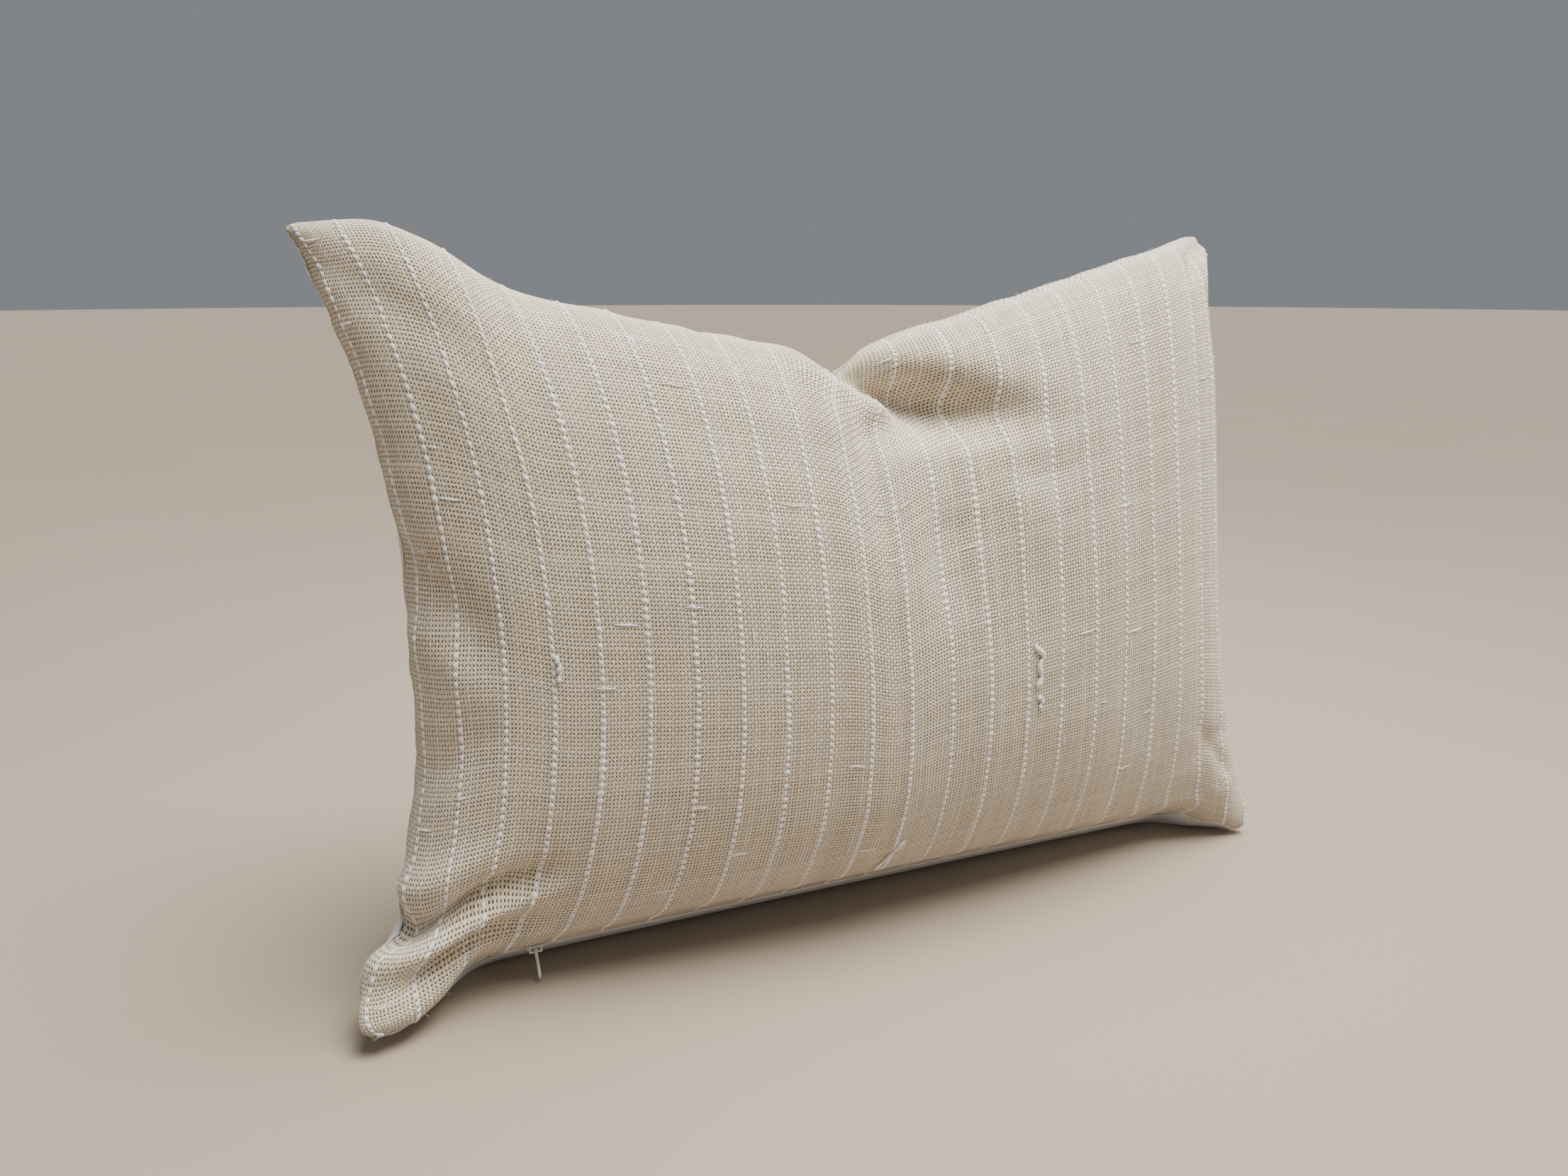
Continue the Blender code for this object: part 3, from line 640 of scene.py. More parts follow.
class Wire:
    """A shader value that takes part in ordinary arithmetic."""

    def __init__(self, tree, socket):
        self.tree = tree
        self.socket = socket

    def math(self, operation, *others):
        node = self.tree.nodes.new("ShaderNodeMath")
        node.operation = operation
        for slot, value in zip(node.inputs, (self, *others)):
            plug(self.tree, slot, value)
        return Wire(self.tree, node.outputs[0])

    def reverse(self, operation, other):
        node = self.tree.nodes.new("ShaderNodeMath")
        node.operation = operation
        plug(self.tree, node.inputs[0], other)
        plug(self.tree, node.inputs[1], self)
        return Wire(self.tree, node.outputs[0])

    def __add__(self, other):
        return self.math("ADD", other)

    def __sub__(self, other):
        return self.math("SUBTRACT", other)

    def __mul__(self, other):
        return self.math("MULTIPLY", other)

    def __truediv__(self, other):
        return self.math("DIVIDE", other)

    def __radd__(self, other):
        return self.reverse("ADD", other)

    def __rsub__(self, other):
        return self.reverse("SUBTRACT", other)

    def __rmul__(self, other):
        return self.reverse("MULTIPLY", other)

    def between(self, low, high):
        """0 below low, 1 above high, smooth between."""
        node = self.tree.nodes.new("ShaderNodeMapRange")
        node.interpolation_type = "SMOOTHSTEP"
        plug(self.tree, node.inputs["Value"], self)
        plug(self.tree, node.inputs["From Min"], low)
        plug(self.tree, node.inputs["From Max"], high)
        return Wire(self.tree, node.outputs["Result"])


def plug(tree, slot, value):
    if isinstance(value, Wire):
        tree.links.new(value.socket, slot)
    else:
        slot.default_value = value


class Finish:
    """One material: its Principled shader, and one way to add any node."""

    def __init__(self, name, roughness=0.9, **constants):
        self.material = bpy.data.materials.new(name)
        self.material.use_nodes = True
        self.tree = self.material.node_tree
        self.shader = self.tree.nodes["Principled BSDF"]
        self.shader.inputs["Roughness"].default_value = roughness
        for key, value in constants.items():
            self.shader.inputs[key.replace("_", " ")].default_value = value

    def add(self, kind, values=None, output=0, **settings):
        node = self.tree.nodes.new("ShaderNode" + kind)
        for key, value in settings.items():
            setattr(node, key, value)
        for key, value in (values or {}).items():
            plug(self.tree, node.inputs[key], value)
        return Wire(self.tree, node.outputs[output])

    def split(self, vector):
        node = self.tree.nodes.new("ShaderNodeSeparateXYZ")
        plug(self.tree, node.inputs[0], vector)
        return [Wire(self.tree, out) for out in node.outputs]

    def vector(self, x=0.0, y=0.0, z=0.0):
        return self.add("CombineXYZ", {"X": x, "Y": y, "Z": z})

    def noise(self, vector, scale, detail=2.0, roughness=0.5):
        values = {"Vector": vector, "Scale": scale, "Detail": detail, "Roughness": roughness}
        return self.add("TexNoise", values, output="Fac")

    def random(self, value):
        """A steady random number from 0 to 1 for each whole number."""
        return self.add("TexWhiteNoise", {"W": value}, output="Value", noise_dimensions="1D")

    def mix(self, share, low, high):
        values = {"Factor": share, 6: low, 7: high}
        return self.add("Mix", values, output=2, data_type="RGBA")

    def bump(self, height, distance, strength=1.0):
        values = {"Height": height, "Distance": distance, "Strength": strength}
        return self.add("Bump", values, output="Normal")

    def feed(self, **links):
        for key, value in links.items():
            plug(self.tree, self.shader.inputs[key.replace("_", " ")], value)
        return self.material


def colour(red, green, blue):
    return (red, green, blue, 1.0)


class Weave:
    """A plain weave over flat-cloth coordinates: heights, holes and thread numbers."""

    def __init__(self, finish, end_pitch, pick_pitch, cover):
        self.finish = finish
        place = finish.add("UVMap", uv_map="cloth")
        sway = finish.noise(place, 55.0, 2.0) - 0.5
        self.u, self.v, _ = finish.split(place)
        self.ends = self.u / end_pitch + sway * 0.9
        sway_v = finish.noise(finish.vector(self.u, self.v + 3.7), 48.0, 2.0) - 0.5
        self.picks = self.v / pick_pitch + sway_v * 0.8
        self.end_number = self.ends.math("FLOOR")
        self.pick_number = self.picks.math("FLOOR")
        warp = self.thread(self.ends, self.picks, self.end_number, 0.0, cover)
        weft = self.thread(self.picks, self.ends, self.pick_number, 1.0, cover)
        self.warp, self.weft = warp, weft
        self.height = warp.math("MAXIMUM", weft)

    def thread(self, side, along, number, phase, cover):
        """Height of one set of threads: round across, and waving over and under."""
        finish = self.finish
        fatness = finish.random(number + 17.3 * (phase + 1)) * 0.22 + cover
        slub = finish.noise(finish.vector(along * 0.11, number * 3.1, phase * 9.0), 1.0, 3.0)
        fatness = fatness + (slub - 0.5) * 0.34
        across = ((side - number) - 0.5).math("ABSOLUTE") * 2.0 / fatness
        body = (1.0 - (across * across).math("MINIMUM", 1.0)).math("SQRT")
        wave = ((along + number + phase) * math.pi - math.pi / 2).math("SINE")
        solid = across.math("LESS_THAN", 1.0)
        return (body * 0.55 + wave * 0.45 + 0.6) * solid


def striped_weave():
    """The cover's front: oatmeal cotton yarns with painted shade in the gaps between them, with white ends
    let in.
    """
    finish = Finish("striped_weave", roughness=0.95, Sheen_Weight=0.25, Sheen_Roughness=0.6)
    weave = Weave(finish, END_PITCH, PICK_PITCH, 0.53)
    warp_tone = finish.random(weave.end_number)
    weft_tone = finish.random(weave.pick_number + 91.7)
    upper = weave.warp.math("GREATER_THAN", weave.weft)
    tone = upper * warp_tone + (1.0 - upper) * weft_tone
    flow = finish.noise(finish.vector(weave.ends * 0.35, weave.picks * 0.35), 1.0, 3.0)
    yarn = finish.mix(tone * 0.55 + flow * 0.45, colour(0.58, 0.475, 0.325), colour(0.86, 0.765, 0.59))
    patch = finish.noise(finish.vector(weave.u, weave.v), 14.0, 3.0)
    yarn = finish.mix(patch.between(0.35, 0.7) * 0.22, yarn, colour(0.80, 0.75, 0.65))
    # White ends, one to each repeat
    repeat = (weave.u - FIRST_STRIPE) / STRIPE_PITCH + 0.5
    offset = ((repeat - repeat.math("FLOOR")) - 0.5).math("ABSOLUTE") * STRIPE_PITCH
    stripe = 1.0 - offset.between(0.0007, 0.0013)
    over = (weave.picks * math.pi).math("SINE").between(-0.2, 0.5)
    yarn = finish.mix(stripe * (0.35 + over * 0.5), yarn, colour(0.86, 0.85, 0.81))
    # Painted shade: the gaps between the yarns and the low places where threads pass under are painted near
    # black.
    depth = weave.height.between(0.05, 0.75)
    shown = finish.mix(depth, colour(0.085, 0.062, 0.040), yarn)
    fibre = finish.noise(finish.vector(weave.ends * 2.3, weave.picks * 2.3), 2.2, 3.0)
    relief = weave.height + fibre * 0.22
    return finish.feed(Base_Color=shown, Normal=finish.bump(relief, 0.00085, 0.9))


def plain_cotton():
    """The back: a fine white cotton, closely woven."""
    finish = Finish("plain_cotton", roughness=0.9, Sheen_Weight=0.15, Sheen_Roughness=0.5)
    weave = Weave(finish, 0.00048, 0.00052, 0.92)
    tone = finish.noise(finish.vector(weave.u, weave.v), 22.0, 4.0)
    cloth = finish.mix(tone, colour(0.74, 0.73, 0.69), colour(0.87, 0.865, 0.835))
    # Painted shade: the weave's low places are painted a darker grey.
    shown = finish.mix(weave.height.between(0.0, 0.7), colour(0.56, 0.54, 0.49), cloth)
    place = finish.vector(weave.u, weave.v)
    creases = finish.noise(place, 30.0, 3.0, 0.55)
    fine = finish.noise(finish.vector(weave.u * 1.4, weave.v), 140.0, 2.0)
    soft = finish.bump(creases + fine * 0.12, 0.0075, 0.75)
    close = finish.add(
        "Bump", {"Height": weave.height, "Distance": 0.00016, "Strength": 0.8, "Normal": soft},
        output="Normal")
    return finish.feed(Base_Color=shown, Normal=close)


# ---- White slub ends -------------------------------------------------------

def slub_width(rng, beads):
    """How fat each bead of one white end is: mostly even, with long slubs here and there."""
    fat = 1 + 0.16 * rng.standard_normal(beads)
    for _ in range(rng.integers(1, 4)):
        middle, reach = rng.integers(0, beads), rng.integers(3, 7)
        fat += 0.28 * np.exp(-((np.arange(beads) - middle) / reach) ** 2)
    return np.clip(fat, 0.6, 1.7)


def build_slub_ends(front, material):
    """Raised white yarns that follow the cloth, showing a bead wherever they pass over."""
    rng = np.random.default_rng(5)
    count = int((FLAT_WIDTH / 2 - FIRST_STRIPE - 0.004) / STRIPE_PITCH) + 1
    bead = 2 * PICK_PITCH
    steps = int((FLAT_HEIGHT - 0.004) / bead * RINGS_PER_BEAD)
    v = 0.002 + np.arange(steps) * bead / RINGS_PER_BEAD
    rings = []
    for number in range(count):
        drift = 0.00025 * np.cumsum(rng.standard_normal(steps)) / math.sqrt(RINGS_PER_BEAD * 8)
        u = FIRST_STRIPE + STRIPE_PITCH * number + drift - drift.mean()
        centre, beside, along = on_cloth(front, u, v)
        phase = v / bead + 0.5 * (number % 2)
        which = np.floor(phase).astype(int)
        fat = slub_width(rng, which.max() + 1)[which]
        wave = np.cos(2 * math.pi * (phase - which - 0.5))
        rings.append(tube_rings(
            centre, beside, unit(np.cross(beside, along)), SLUB_HALF * fat * (0.72 + 0.28 * wave),
            SLUB_TALL * fat * (0.72 + 0.28 * wave), SLUB_LIFT + SLUB_WAVE * wave, SLUB_SIDES))
    return strands("white_slub_ends", rings, material)


def tube_rings(centre, beside, normal, half, tall, lift, sides):
    """Rings of an oval yarn lying on a surface."""
    angle = 2 * math.pi * np.arange(sides) / sides
    out = beside[:, None] * (np.cos(angle)[None, :] * np.broadcast_to(half, len(centre))[:, None])[..., None]
    up = normal[:, None] * (np.sin(angle)[None, :] * np.broadcast_to(tall, len(centre))[:, None])[..., None]
    raised = centre + normal * np.broadcast_to(lift, len(centre))[:, None]
    return raised[:, None] + out + up


def strands(name, rings, material, closed=False):
    """One mesh of many tubes, each given as its rings; ends are capped unless it closes."""
    points, quads, caps, base = [], [], [], 0
    for tube in rings:
        steps, sides = tube.shape[:2]
        index = base + np.arange(steps * sides).reshape(steps, sides)
        turned = np.roll(index, -1, axis=1)
        ahead, ahead_turned = np.roll(index, -1, axis=0), np.roll(turned, -1, axis=0)
        faces = np.stack([index, turned, ahead_turned, ahead], -1)
        quads.append((faces if closed else faces[:-1]).reshape(-1, 4))
        if not closed:
            caps += [index[0, ::-1].tolist(), index[-1].tolist()]
        points.append(tube.reshape(-1, 3))
        base += steps * sides
    data = bpy.data.meshes.new(name)
    data.from_pydata(np.concatenate(points).tolist(), [], np.concatenate(quads).tolist() + caps)
    work = bmesh.new()
    work.from_mesh(data)
    bmesh.ops.recalc_face_normals(work, faces=work.faces)
    work.to_mesh(data)
    work.free()
    data.shade_smooth()
    data.materials.append(material)
    thing = bpy.data.objects.new(name, data)
    bpy.context.scene.collection.objects.link(thing)
    return thing


def path_tube(path, radius, sides=5, closed=False):
    """Rings of a round thread along a path."""
    along = unit(np.roll(path, -1, 0) - np.roll(path, 1, 0)) if closed else unit(np.gradient(path, axis=0))
    guide = np.where(np.abs(along[:, 2:3]) < 0.9, np.array([[0.0, 0, 1]]), np.array([[1.0, 0, 0]]))
    beside = unit(np.cross(along, guide))
    return tube_rings(path, beside, np.cross(beside, along), radius, radius, 0.0, sides)


def slub_cotton():
    """Loosely spun white cotton."""
    finish = Finish("white_slub", roughness=0.95, Sheen_Weight=0.4, Sheen_Roughness=0.6)
    place = finish.add("TexCoord", output="Object")
    fibre = finish.noise(place, 1500.0, 3.0)
    tone = finish.noise(place, 160.0, 2.0)
    shown = finish.mix(tone, colour(0.70, 0.69, 0.65), colour(0.83, 0.82, 0.785))
    return finish.feed(Base_Color=shown, Normal=finish.bump(fibre, 0.00025, 0.6))


def add_camera():
    data = bpy.data.cameras.new("camera")
    data.lens = 25.98
    data.sensor_width = 36
    camera = bpy.data.objects.new("camera", data)
    bpy.context.scene.collection.objects.link(camera)
    camera.location = (-0.2426, -0.5059, 0.3218)
    camera.rotation_euler = (math.radians(90 - 15.31), 0, -math.radians(22.15))
    bpy.context.scene.camera = camera


def area_light(name, place, target, size, watts):
    """A soft rectangular lamp, aimed at a point."""
    data = bpy.data.lights.new(name, "AREA")
    data.shape = "RECTANGLE"
    data.size, data.size_y = size
    data.energy = watts
    data.color = LAMP_COLOUR
    lamp = bpy.data.objects.new(name, data)
    bpy.context.scene.collection.objects.link(lamp)
    lamp.location = place
    aim = Vector(target) - Vector(place)
    lamp.rotation_euler = aim.to_track_quat("-Z", "Y").to_euler()


def add_studio():
    """A wide pale table under an even sky, soft light overhead and a weak lamp at the side."""
    bpy.ops.object.select_all(action="DESELECT")
    bpy.ops.mesh.primitive_circle_add(vertices=96, radius=14, fill_type="NGON")
    floor = bpy.context.object
    floor.name = "studio_floor"
    finish = Finish("studio_floor", roughness=0.9)
    place = finish.add("TexCoord", output="Object")
    tone = finish.noise(place, 3.0, 2.0)
    floor.data.materials.append(finish.feed(
        Base_Color=finish.mix(tone, colour(0.335, 0.275, 0.215), colour(0.365, 0.30, 0.24))))
    world = bpy.data.worlds.new("studio")
    bpy.context.scene.world = world
    world.use_nodes = True
    background = world.node_tree.nodes["Background"]
    background.inputs["Color"].default_value = (0.86, 0.90, 0.95, 1)
    background.inputs["Strength"].default_value = 0.26
    data = bpy.data.lights.new("overhead", "SUN")
    data.energy = 4.8
    data.angle = math.radians(40)
    data.color = LAMP_COLOUR
    lamp = bpy.data.objects.new("overhead", data)
    bpy.context.scene.collection.objects.link(lamp)
    lamp.rotation_euler = Vector((-0.30, 0.16, -1.0)).to_track_quat("-Z", "Y").to_euler()
    area_light("near", (0.18, -0.02, 0.95), (0.05, 0, 0.2), (0.7, 0.5), 12)
    area_light("side", (1.5, -1.0, 0.9), (0, 0, 0.15), (0.8, 0.8), 5)


# ---- Threads, zip and insert -----------------------------------------------

def rim_places(inset, step):
    """Evenly spaced flat places once round the cover at a distance in from the seam."""
    wide, tall = FLAT_WIDTH / 2 - inset, FLAT_HEIGHT - 2 * inset
    corners = [(-wide, inset), (wide, inset), (wide, inset + tall), (-wide, inset + tall)]
    places = []
    for (ax, ay), (bx, by) in zip(corners, corners[1:] + corners[:1]):
        count = round(math.hypot(bx - ax, by - ay) / step)
        share = np.arange(count) / count
        places.append(np.stack([ax + (bx - ax) * share, ay + (by - ay) * share], -1))
    return np.concatenate(places)


def spindle(tip_a, tip_b, radius, sides=5):
    """Rings of one short stitch, thick in the middle."""
    share = np.linspace(0, 1, 5)[:, None]
    path = tip_a + (tip_b - tip_a) * share
    swell = radius * np.array([0.35, 0.9, 1.0, 0.9, 0.35])
    along = unit((tip_b - tip_a)[None])
    guide = np.array([[0.0, 0, 1]]) if abs(along[0, 2]) < 0.9 else np.array([[1.0, 0, 0]])
    beside = np.repeat(unit(np.cross(along, guide)), 5, 0)
    normal = np.cross(beside, np.repeat(along, 5, 0))
    return tube_rings(path, beside, normal, swell, swell, 0.0, sides)


def seam_stitches(front, back, material):
    """The lockstitch that closes the cover, seen as small dashes in the seam."""
    places = rim_places(SEAM_DEPTH, STITCH_PITCH / 2)
    middle = (on_cloth(front, *places.T)[0] + on_cloth(back, *places.T)[0]) / 2
    open_here = (np.abs(places[:, 0]) < 0.182) & (places[:, 1] < 0.01)
    rings = [
        spindle(middle[n], middle[(n + 1) % len(middle)], SEAM_THREAD)
        for n in range(0, len(middle), 2) if not open_here[n]
    ]
    return strands("cover_seam_stitches", rings, material)


def overlock(name, front, back, outward, material):
    """Thread that zigzags over the raw edge of one panel's turned-in allowance."""
    places = rim_places(0.0, OVERLOCK_PITCH / 2)
    depth = np.where(np.arange(len(places)) % 2, OVERLOCK_NEAR, OVERLOCK_FAR)
    path = turned_in(front, back, *places.T, depth, outward, OVERLOCK_GAP)
    return strands(name, [path_tube(path, OVERLOCK_THREAD, 4, closed=True)], material, closed=True)


def insert_grid(front, back, edge, gap, columns=108, rows=76):
    """Front and back of a soft form inside the cover: an edge inset and a gap all over."""
    u = np.linspace(-FLAT_WIDTH / 2 + edge, FLAT_WIDTH / 2 - edge, columns)
    v = np.linspace(edge, FLAT_HEIGHT - edge, rows)
    u, v = np.meshgrid(u, v, indexing="ij")
    on_front, on_back = on_cloth(front, u, v)[0], on_cloth(back, u, v)[0]
    middle, half = (on_front + on_back) / 2, (on_front - on_back) / 2
    size = np.maximum(np.linalg.norm(half, axis=-1, keepdims=True), 1e-9)
    away = np.minimum(FLAT_WIDTH / 2 - np.abs(u), np.minimum(v, FLAT_HEIGHT - v)) - edge
    close = np.sqrt(np.clip(1 - (1 - np.clip(away / 0.045, 0, 1)) ** 2, 0, 1))[..., None]
    corner = np.hypot(FLAT_WIDTH / 2 - np.abs(u), np.minimum(v, FLAT_HEIGHT - v))
    close = close * smooth(0.030, 0.115, corner)[..., None]
    share = np.clip(1 - gap / size, 0.0, 1) * close
    by_zip = (1 - smooth(*CLEAR_OF_ZIP, np.abs(u))) * (1 - smooth(edge, 0.060, v))
    middle = middle - np.array(OUT) * ZIP_CLEARANCE * by_zip[..., None]
    return middle + half * share, middle - half * share, u, v


def sheet_piece(name, grid, u, v, outward):
    """One face of the insert, given its cloth's thickness."""
    nu, nv = u.shape
    quads = grid_faces(np.arange(nu * nv).reshape(nu, nv), outward)
    flat = np.stack([u, v], -1).reshape(-1, 2)
    piece = mesh_object(name, grid.reshape(-1, 3), quads, flat[quads])
    thicken(piece, INSERT_CLOTH)
    return piece


def build_insert(front, back):
    """The inner pillow: two cotton shells, their closing seam, and the fibre inside."""
    shell_front, shell_back, u, v = insert_grid(front, back, INSERT_EDGE, INSERT_GAP)
    calico = insert_cotton()
    pieces = []
    for name, grid, outward, node in (
            ("insert_shell_front_cloth", shell_front, 1.0, "insert_shell_front"),
            ("insert_shell_back_cloth", shell_back, -1.0, "insert_shell_back")):
        piece = sheet_piece(name, grid, u, v, outward)
        piece.data.materials.append(calico)
        pieces.append((piece, node, "insert_cotton", 0.75))
    loop = rim_loop(*u.shape)
    edge = shell_front[tuple(loop.T)]
    rings = [spindle(edge[n], edge[n + 1], 0.00045) for n in range(0, len(edge) - 1, 2)]
    seam_thread = thread_finish("insert_thread", colour(0.86, 0.86, 0.84))
    seam = strands("insert_seam_stitches", rings, seam_thread)
    pieces.append((seam, "insert_seam_thread", "thread", None))
    fill_front, fill_back, u, v = insert_grid(front, back, FILL_EDGE, FILL_GAP, 64, 46)
    rng = np.random.default_rng(12)
    lumps = sum(
        0.0012 * np.sin(u * rng.uniform(60, 160) + rng.uniform(0, 6))
        * np.sin(v * rng.uniform(60, 160) + rng.uniform(0, 6)) for _ in range(4))
    calm = np.clip((fill_front - fill_back)[..., 1:2] * -20, 0, 1)
    fill_front = fill_front - grid_normals(fill_front) * np.abs(lumps)[..., None] * calm
    fill = closed_form("insert_fill_fibre", fill_front, fill_back)
    fill.data.materials.append(insert_fibre())
    pieces.append((fill, "insert_fill", "insert_fibre", 0.75))
    return pieces


def closed_form(name, front, back):
    """Front and back grids joined at their shared rim."""
    quads, inner = joined_faces(*front.shape[:2])
    return mesh_object(name, np.concatenate([front.reshape(-1, 3), back[inner]]), quads)


def zip_coil(name, node, phase, material):
    """One side of the zip's chain: a fine coil where the frame has its row of teeth."""
    low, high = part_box(node)
    centre = (low + high) / 2
    turns = int((high.x - low.x - 0.001) / COIL_PITCH)
    steps = turns * 8
    angle = 2 * math.pi * np.arange(steps) / 8 + phase
    x = low.x + 0.0005 + np.arange(steps) * COIL_PITCH / 8
    across, out = np.array(ACROSS), np.array(OUT)
    path = (np.array([0, centre.y, centre.z]) + x[:, None] * np.array([1.0, 0, 0])
            + np.cos(angle)[:, None] * across * COIL_WIDE + np.sin(angle)[:, None] * out * COIL_TALL)
    return strands(name, [path_tube(path, COIL_WIRE, 4)], material)


KNOTS = (
    (((0.071, 0.156), (0.076, 0.150), (0.073, 0.144), (0.075, 0.139), (0.072, 0.133)), 0.0015),
    (((0.073, 0.128), (0.076, 0.125), (0.074, 0.121)), 0.0013),
    (((0.004, 0.058), (0.000, 0.050), (-0.003, 0.043), (-0.006, 0.034)), 0.0014),
    (((-0.176, 0.172), (-0.174, 0.166), (-0.175, 0.160)), 0.0011),
    (((-0.243, 0.013), (-0.240, 0.010)), 0.0008),
)


def yarn_faults(front, material):
    """Thick places and knots that the loose yarns leave standing on the cloth."""
    rng = np.random.default_rng(21)
    rings = []
    for _ in range(48):
        u, v = rng.uniform((-0.24, 0.01), (0.24, 0.345))
        length, weight = rng.uniform(0.005, 0.013), rng.uniform(0.00040, 0.00062)
        upright = rng.random() < 0.3
        share = np.linspace(-0.5, 0.5, 9)
        us = u + (0.0 if upright else 1.0) * length * share + 0.0002 * rng.standard_normal(9)
        vs = v + (1.0 if upright else 0.0) * length * share + 0.0002 * rng.standard_normal(9)
        rings.append(lying_yarn(front, us, vs, weight * np.cos(share * math.pi * 0.94), 0.00012))
    for path, weight in KNOTS:
        us, vs = np.array(path).T
        fine = np.linspace(0, len(us) - 1, 22)
        us = np.interp(fine, np.arange(len(us)), us) + 0.0003 * rng.standard_normal(22)
        vs = np.interp(fine, np.arange(len(vs)), vs) + 0.0003 * rng.standard_normal(22)
        swell = weight * (0.55 + 0.45 * np.abs(np.sin(np.linspace(0.3, 8.5, 22))))
        swell[[0, -1]] *= 0.4
        rings.append(lying_yarn(front, us, vs, swell, 0.0006, 8))
    return strands("yarn_slubs_and_knots", rings, material)


def lying_yarn(front, us, vs, swell, lift, sides=6):
    centre, beside, along = on_cloth(front, us, vs)
    normal = unit(np.cross(beside, along))
    path_along = unit(np.gradient(centre, axis=0))
    side = unit(np.cross(path_along, normal))
    return tube_rings(centre, side, normal, swell, np.asarray(swell) * 0.75, lift, sides)


def fuzz(front, back, material):
    """Loose fibre ends standing off the cotton, and one thread end at the right-hand seam."""
    rng = np.random.default_rng(33)
    rings = []
    for number in range(900):
        grid, way = (front, 1.0) if number % 6 else (back, -1.0)
        u, v = rng.uniform((-0.252, 0.004), (0.252, 0.352))
        centre, beside, along = on_cloth(grid, u, v)
        normal = way * unit(np.cross(beside, along))
        lean = rng.standard_normal(2) * 0.9
        length = rng.uniform(0.0015, 0.0042)
        share = np.linspace(0, 1, 4)[:, None]
        side = beside * lean[0] + along * lean[1]
        path = centre + length * (normal * share * (1.2 - 0.6 * share) + side * share ** 2)
        path[:, 2] = np.maximum(path[:, 2], TABLE_CLEARANCE)
        rings.append(path_tube(path, 0.00004, 3))
    point = on_cloth(front, 0.2525, 0.020)[0]
    share = np.linspace(0, 1, 9)[:, None]
    loose = point + np.array([[0.0075, -0.002, 0.0]]) * share + np.array([[0, 0, -0.002]]) * share ** 2
    loose[:, 2] = np.maximum(loose[:, 2], TABLE_CLEARANCE)
    rings.append(path_tube(loose, 0.0002, 5))
    return strands("fibre_ends", rings, material)


def thread_finish(name, shade):
    """Twisted sewing thread."""
    finish = Finish(name, roughness=0.6, Sheen_Weight=0.2)
    place = finish.add("TexCoord", output="Object")
    x, y, z = finish.split(place)
    ply = ((x + y * 0.7 + z) * 9000.0).math("SINE")
    fibre = finish.noise(place, 2600.0, 2.0)
    dark = tuple(value * 0.82 for value in shade[:3]) + (1.0,)
    # Painted shade: the thread is painted darker where its relief is low, in the ply's grooves and among the
    # fibres.
    shown = finish.mix(fibre * 0.6 + ply * 0.15 + 0.2, dark, shade)
    return finish.feed(Base_Color=shown, Normal=finish.bump(ply + fibre, 0.00006, 0.6))


def insert_cotton():
    """Close white calico of the inner pillow."""
    finish = Finish("insert_cotton", roughness=0.88, Sheen_Weight=0.1)
    weave = Weave(finish, 0.0006, 0.0006, 0.9)
    # Painted shade: the weave's low places are painted darker.
    shown = finish.mix(weave.height.between(0, 0.8), colour(0.70, 0.69, 0.66), colour(0.88, 0.88, 0.86))
    return finish.feed(Base_Color=shown, Normal=finish.bump(weave.height, 0.0001, 0.6))


def insert_fibre():
    """Loose white polyester fibre."""
    finish = Finish("insert_fibre", roughness=1.0, Sheen_Weight=0.5)
    place = finish.add("TexCoord", output="Object")
    clump = finish.noise(place, 60.0, 6.0, 0.65)
    strand = finish.noise(place, 700.0, 3.0)
    # Painted shade: the clumps that make the relief are painted darker where they sink, in the hollows
    # between them.
    shown = finish.mix(clump, colour(0.74, 0.74, 0.74), colour(0.92, 0.92, 0.92))
    return finish.feed(Base_Color=shown, Normal=finish.bump(clump + strand * 0.3, 0.002, 0.7))


def zip_tape():
    """Herringbone tape, woven in white polyester."""
    finish = Finish("zip_tape", roughness=0.75, Sheen_Weight=0.1)
    place = finish.add("TexCoord", output="Object")
    x, y, z = finish.split(place)
    deep = z * 0.643 - y * 0.766
    slant = (deep * 500.0).math("SINE").math("ABSOLUTE") * 0.0012
    rib = ((x + slant) * (2 * math.pi / 0.0007)).math("SINE")
    ends = (deep * (2 * math.pi / 0.0005)).math("SINE")
    height = rib * 0.6 + ends * 0.4
    # Painted shade: the herringbone's low places are painted darker.
    shown = finish.mix(height.between(-1.0, 0.8), colour(0.66, 0.65, 0.62), colour(0.86, 0.855, 0.83))
    return finish.feed(Base_Color=shown, Normal=finish.bump(height, 0.0001, 0.7))


def zip_nylon():
    """Slightly clear white nylon."""
    finish = Finish("zip_nylon", roughness=0.35)
    place = finish.add("TexCoord", output="Object")
    tone = finish.noise(place, 900.0, 2.0)
    shown = finish.mix(tone, colour(0.80, 0.80, 0.77), colour(0.88, 0.88, 0.86))
    return finish.feed(Base_Color=shown, Roughness=0.28 + tone * 0.18)


def zip_enamel():
    """White enamel over metal, rubbed a little thin on the high places."""
    finish = Finish("zip_enamel", roughness=0.3, Coat_Weight=0.3, Coat_Roughness=0.2)
    place = finish.add("TexCoord", output="Object")
    edge = finish.add("NewGeometry", output="Pointiness")
    cloud = finish.noise(place, 500.0, 4.0, 0.6)
    worn = (edge + (cloud - 0.5) * 0.12).between(0.56, 0.62)
    tone = finish.mix(cloud, colour(0.80, 0.79, 0.76), colour(0.88, 0.875, 0.85))
    shown = finish.mix(worn * 0.5, tone, colour(0.52, 0.51, 0.49))
    peel = finish.noise(place, 1500.0, 2.0)
    return finish.feed(
        Base_Color=shown, Roughness=0.24 + cloud * 0.14 + worn * 0.2,
        Normal=finish.bump(peel, 0.00004, 0.4))


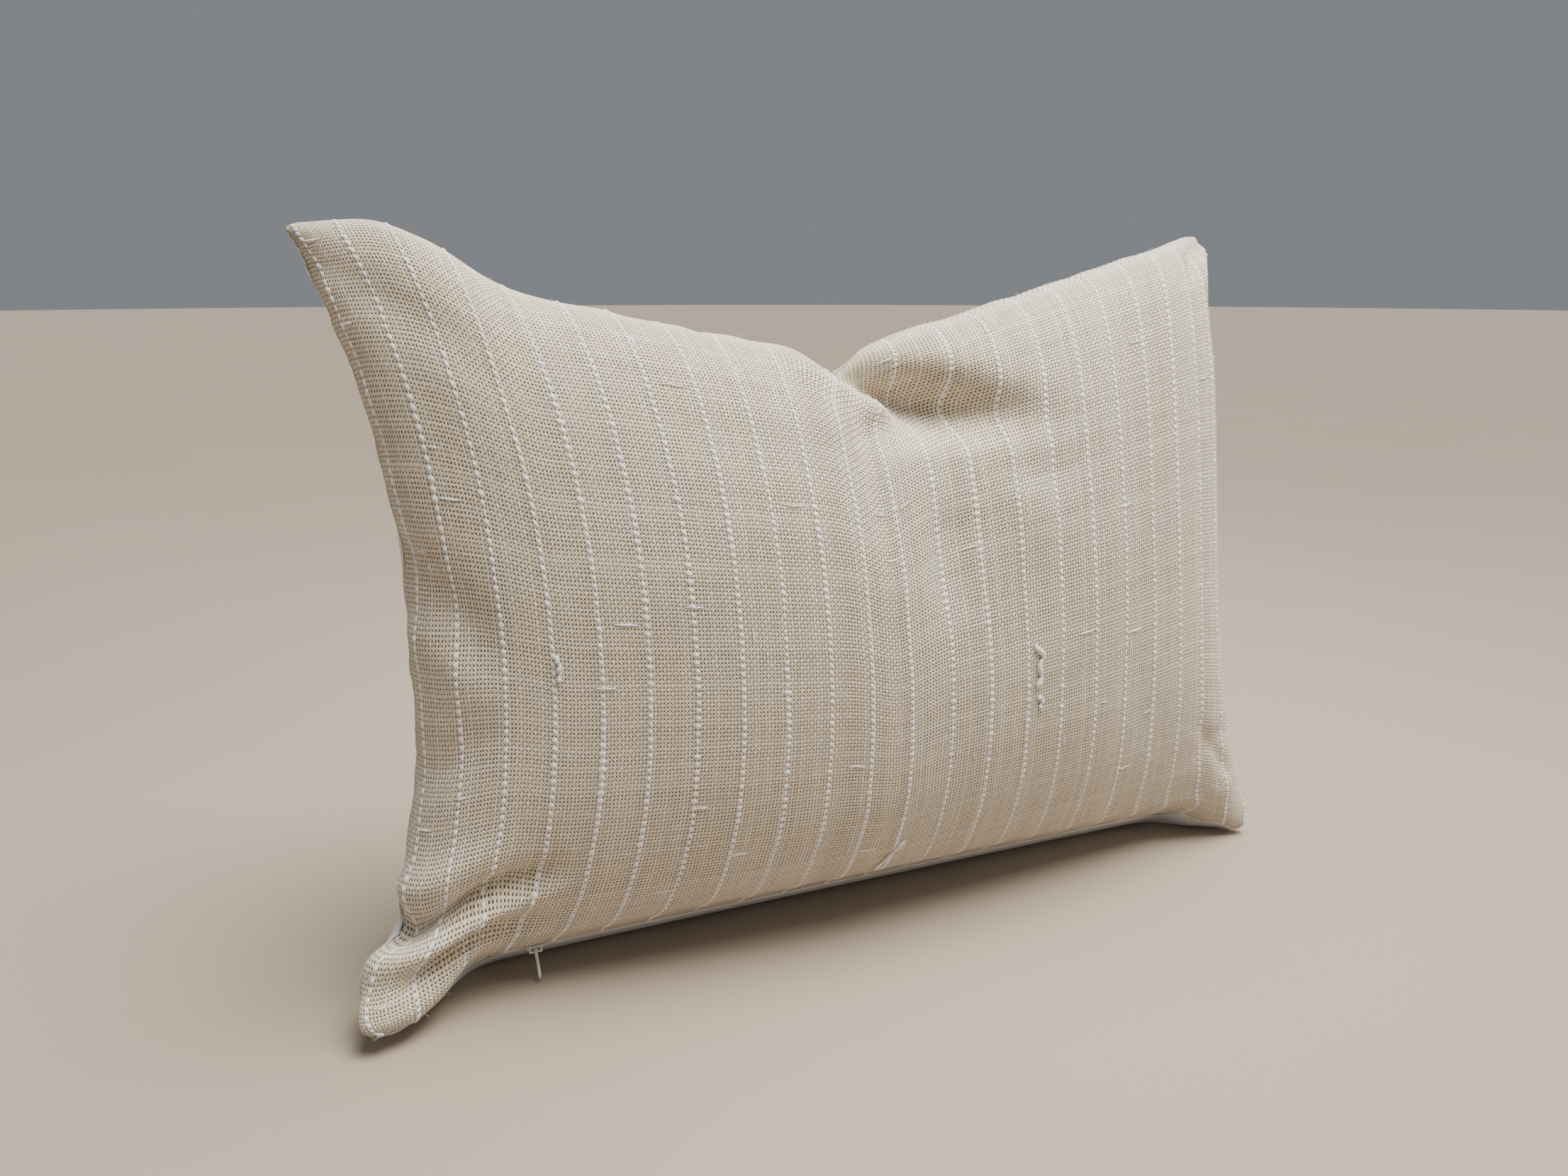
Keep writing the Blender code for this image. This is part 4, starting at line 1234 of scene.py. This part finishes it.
def finish_cad_nodes():
    """Give each part that stays as it is its own material, and return the nylon."""
    white = thread_finish("zip_thread", colour(0.87, 0.865, 0.84))
    finishes = {
        "zipper_tape_front": zip_tape(), "zipper_stitching_front": white,
        "zipper_top_stop_front": zip_nylon(), "zipper_slider": zip_enamel(),
    }
    for node, other in (
            ("zipper_tape_back", "zipper_tape_front"), ("zipper_stitching_back", "zipper_stitching_front"),
            ("zipper_top_stop_back", "zipper_top_stop_front"),
            ("zipper_bottom_stop", "zipper_top_stop_front"), ("zipper_pull", "zipper_slider")):
        finishes[node] = finishes[other]
    for node, material in finishes.items():
        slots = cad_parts[node].material_slots
        for slot in slots:
            slot.material = material
        if not slots:
            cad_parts[node].data.materials.append(material)
    return finishes["zipper_top_stop_front"]


def settle_piece(piece, node, slot, fill=None):
    """Carry a piece on the pillow and let it stand for its CAD solid."""
    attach(piece, RIDES_ON)
    if node:
        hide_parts(node)


def main():
    (front, back), front_grid, back_grid = build_cover()
    front.data.materials.append(striped_weave())
    back.data.materials.append(plain_cotton())
    settle_piece(front, "front_panel", "striped_weave", 0.7)
    settle_piece(back, "back_panel", "plain_cotton", 0.7)
    white = slub_cotton()
    settle_piece(build_slub_ends(front_grid, white), None, "striped_weave")
    settle_piece(yarn_faults(front_grid, white), None, "striped_weave")
    settle_piece(fuzz(front_grid, back_grid, white), None, "striped_weave")
    cream = thread_finish("seam_thread", colour(0.82, 0.79, 0.71))
    settle_piece(seam_stitches(front_grid, back_grid, cream), "cover_seam_thread", "thread")
    for side, outward in (("front", 1.0), ("back", -1.0)):
        loops = overlock("overlock_loops_" + side, front_grid, back_grid, outward, cream)
        settle_piece(loops, "overlock_thread_" + side, "thread")
    for parts in build_insert(front_grid, back_grid):
        settle_piece(*parts)
    nylon = finish_cad_nodes()
    for side, phase in (("front", 0.0), ("back", math.pi)):
        node = "zipper_coil_" + side
        settle_piece(zip_coil("zipper_coil_loops_" + side, node, phase, nylon), node, "zip_nylon")
    add_camera()
    add_studio()


main()
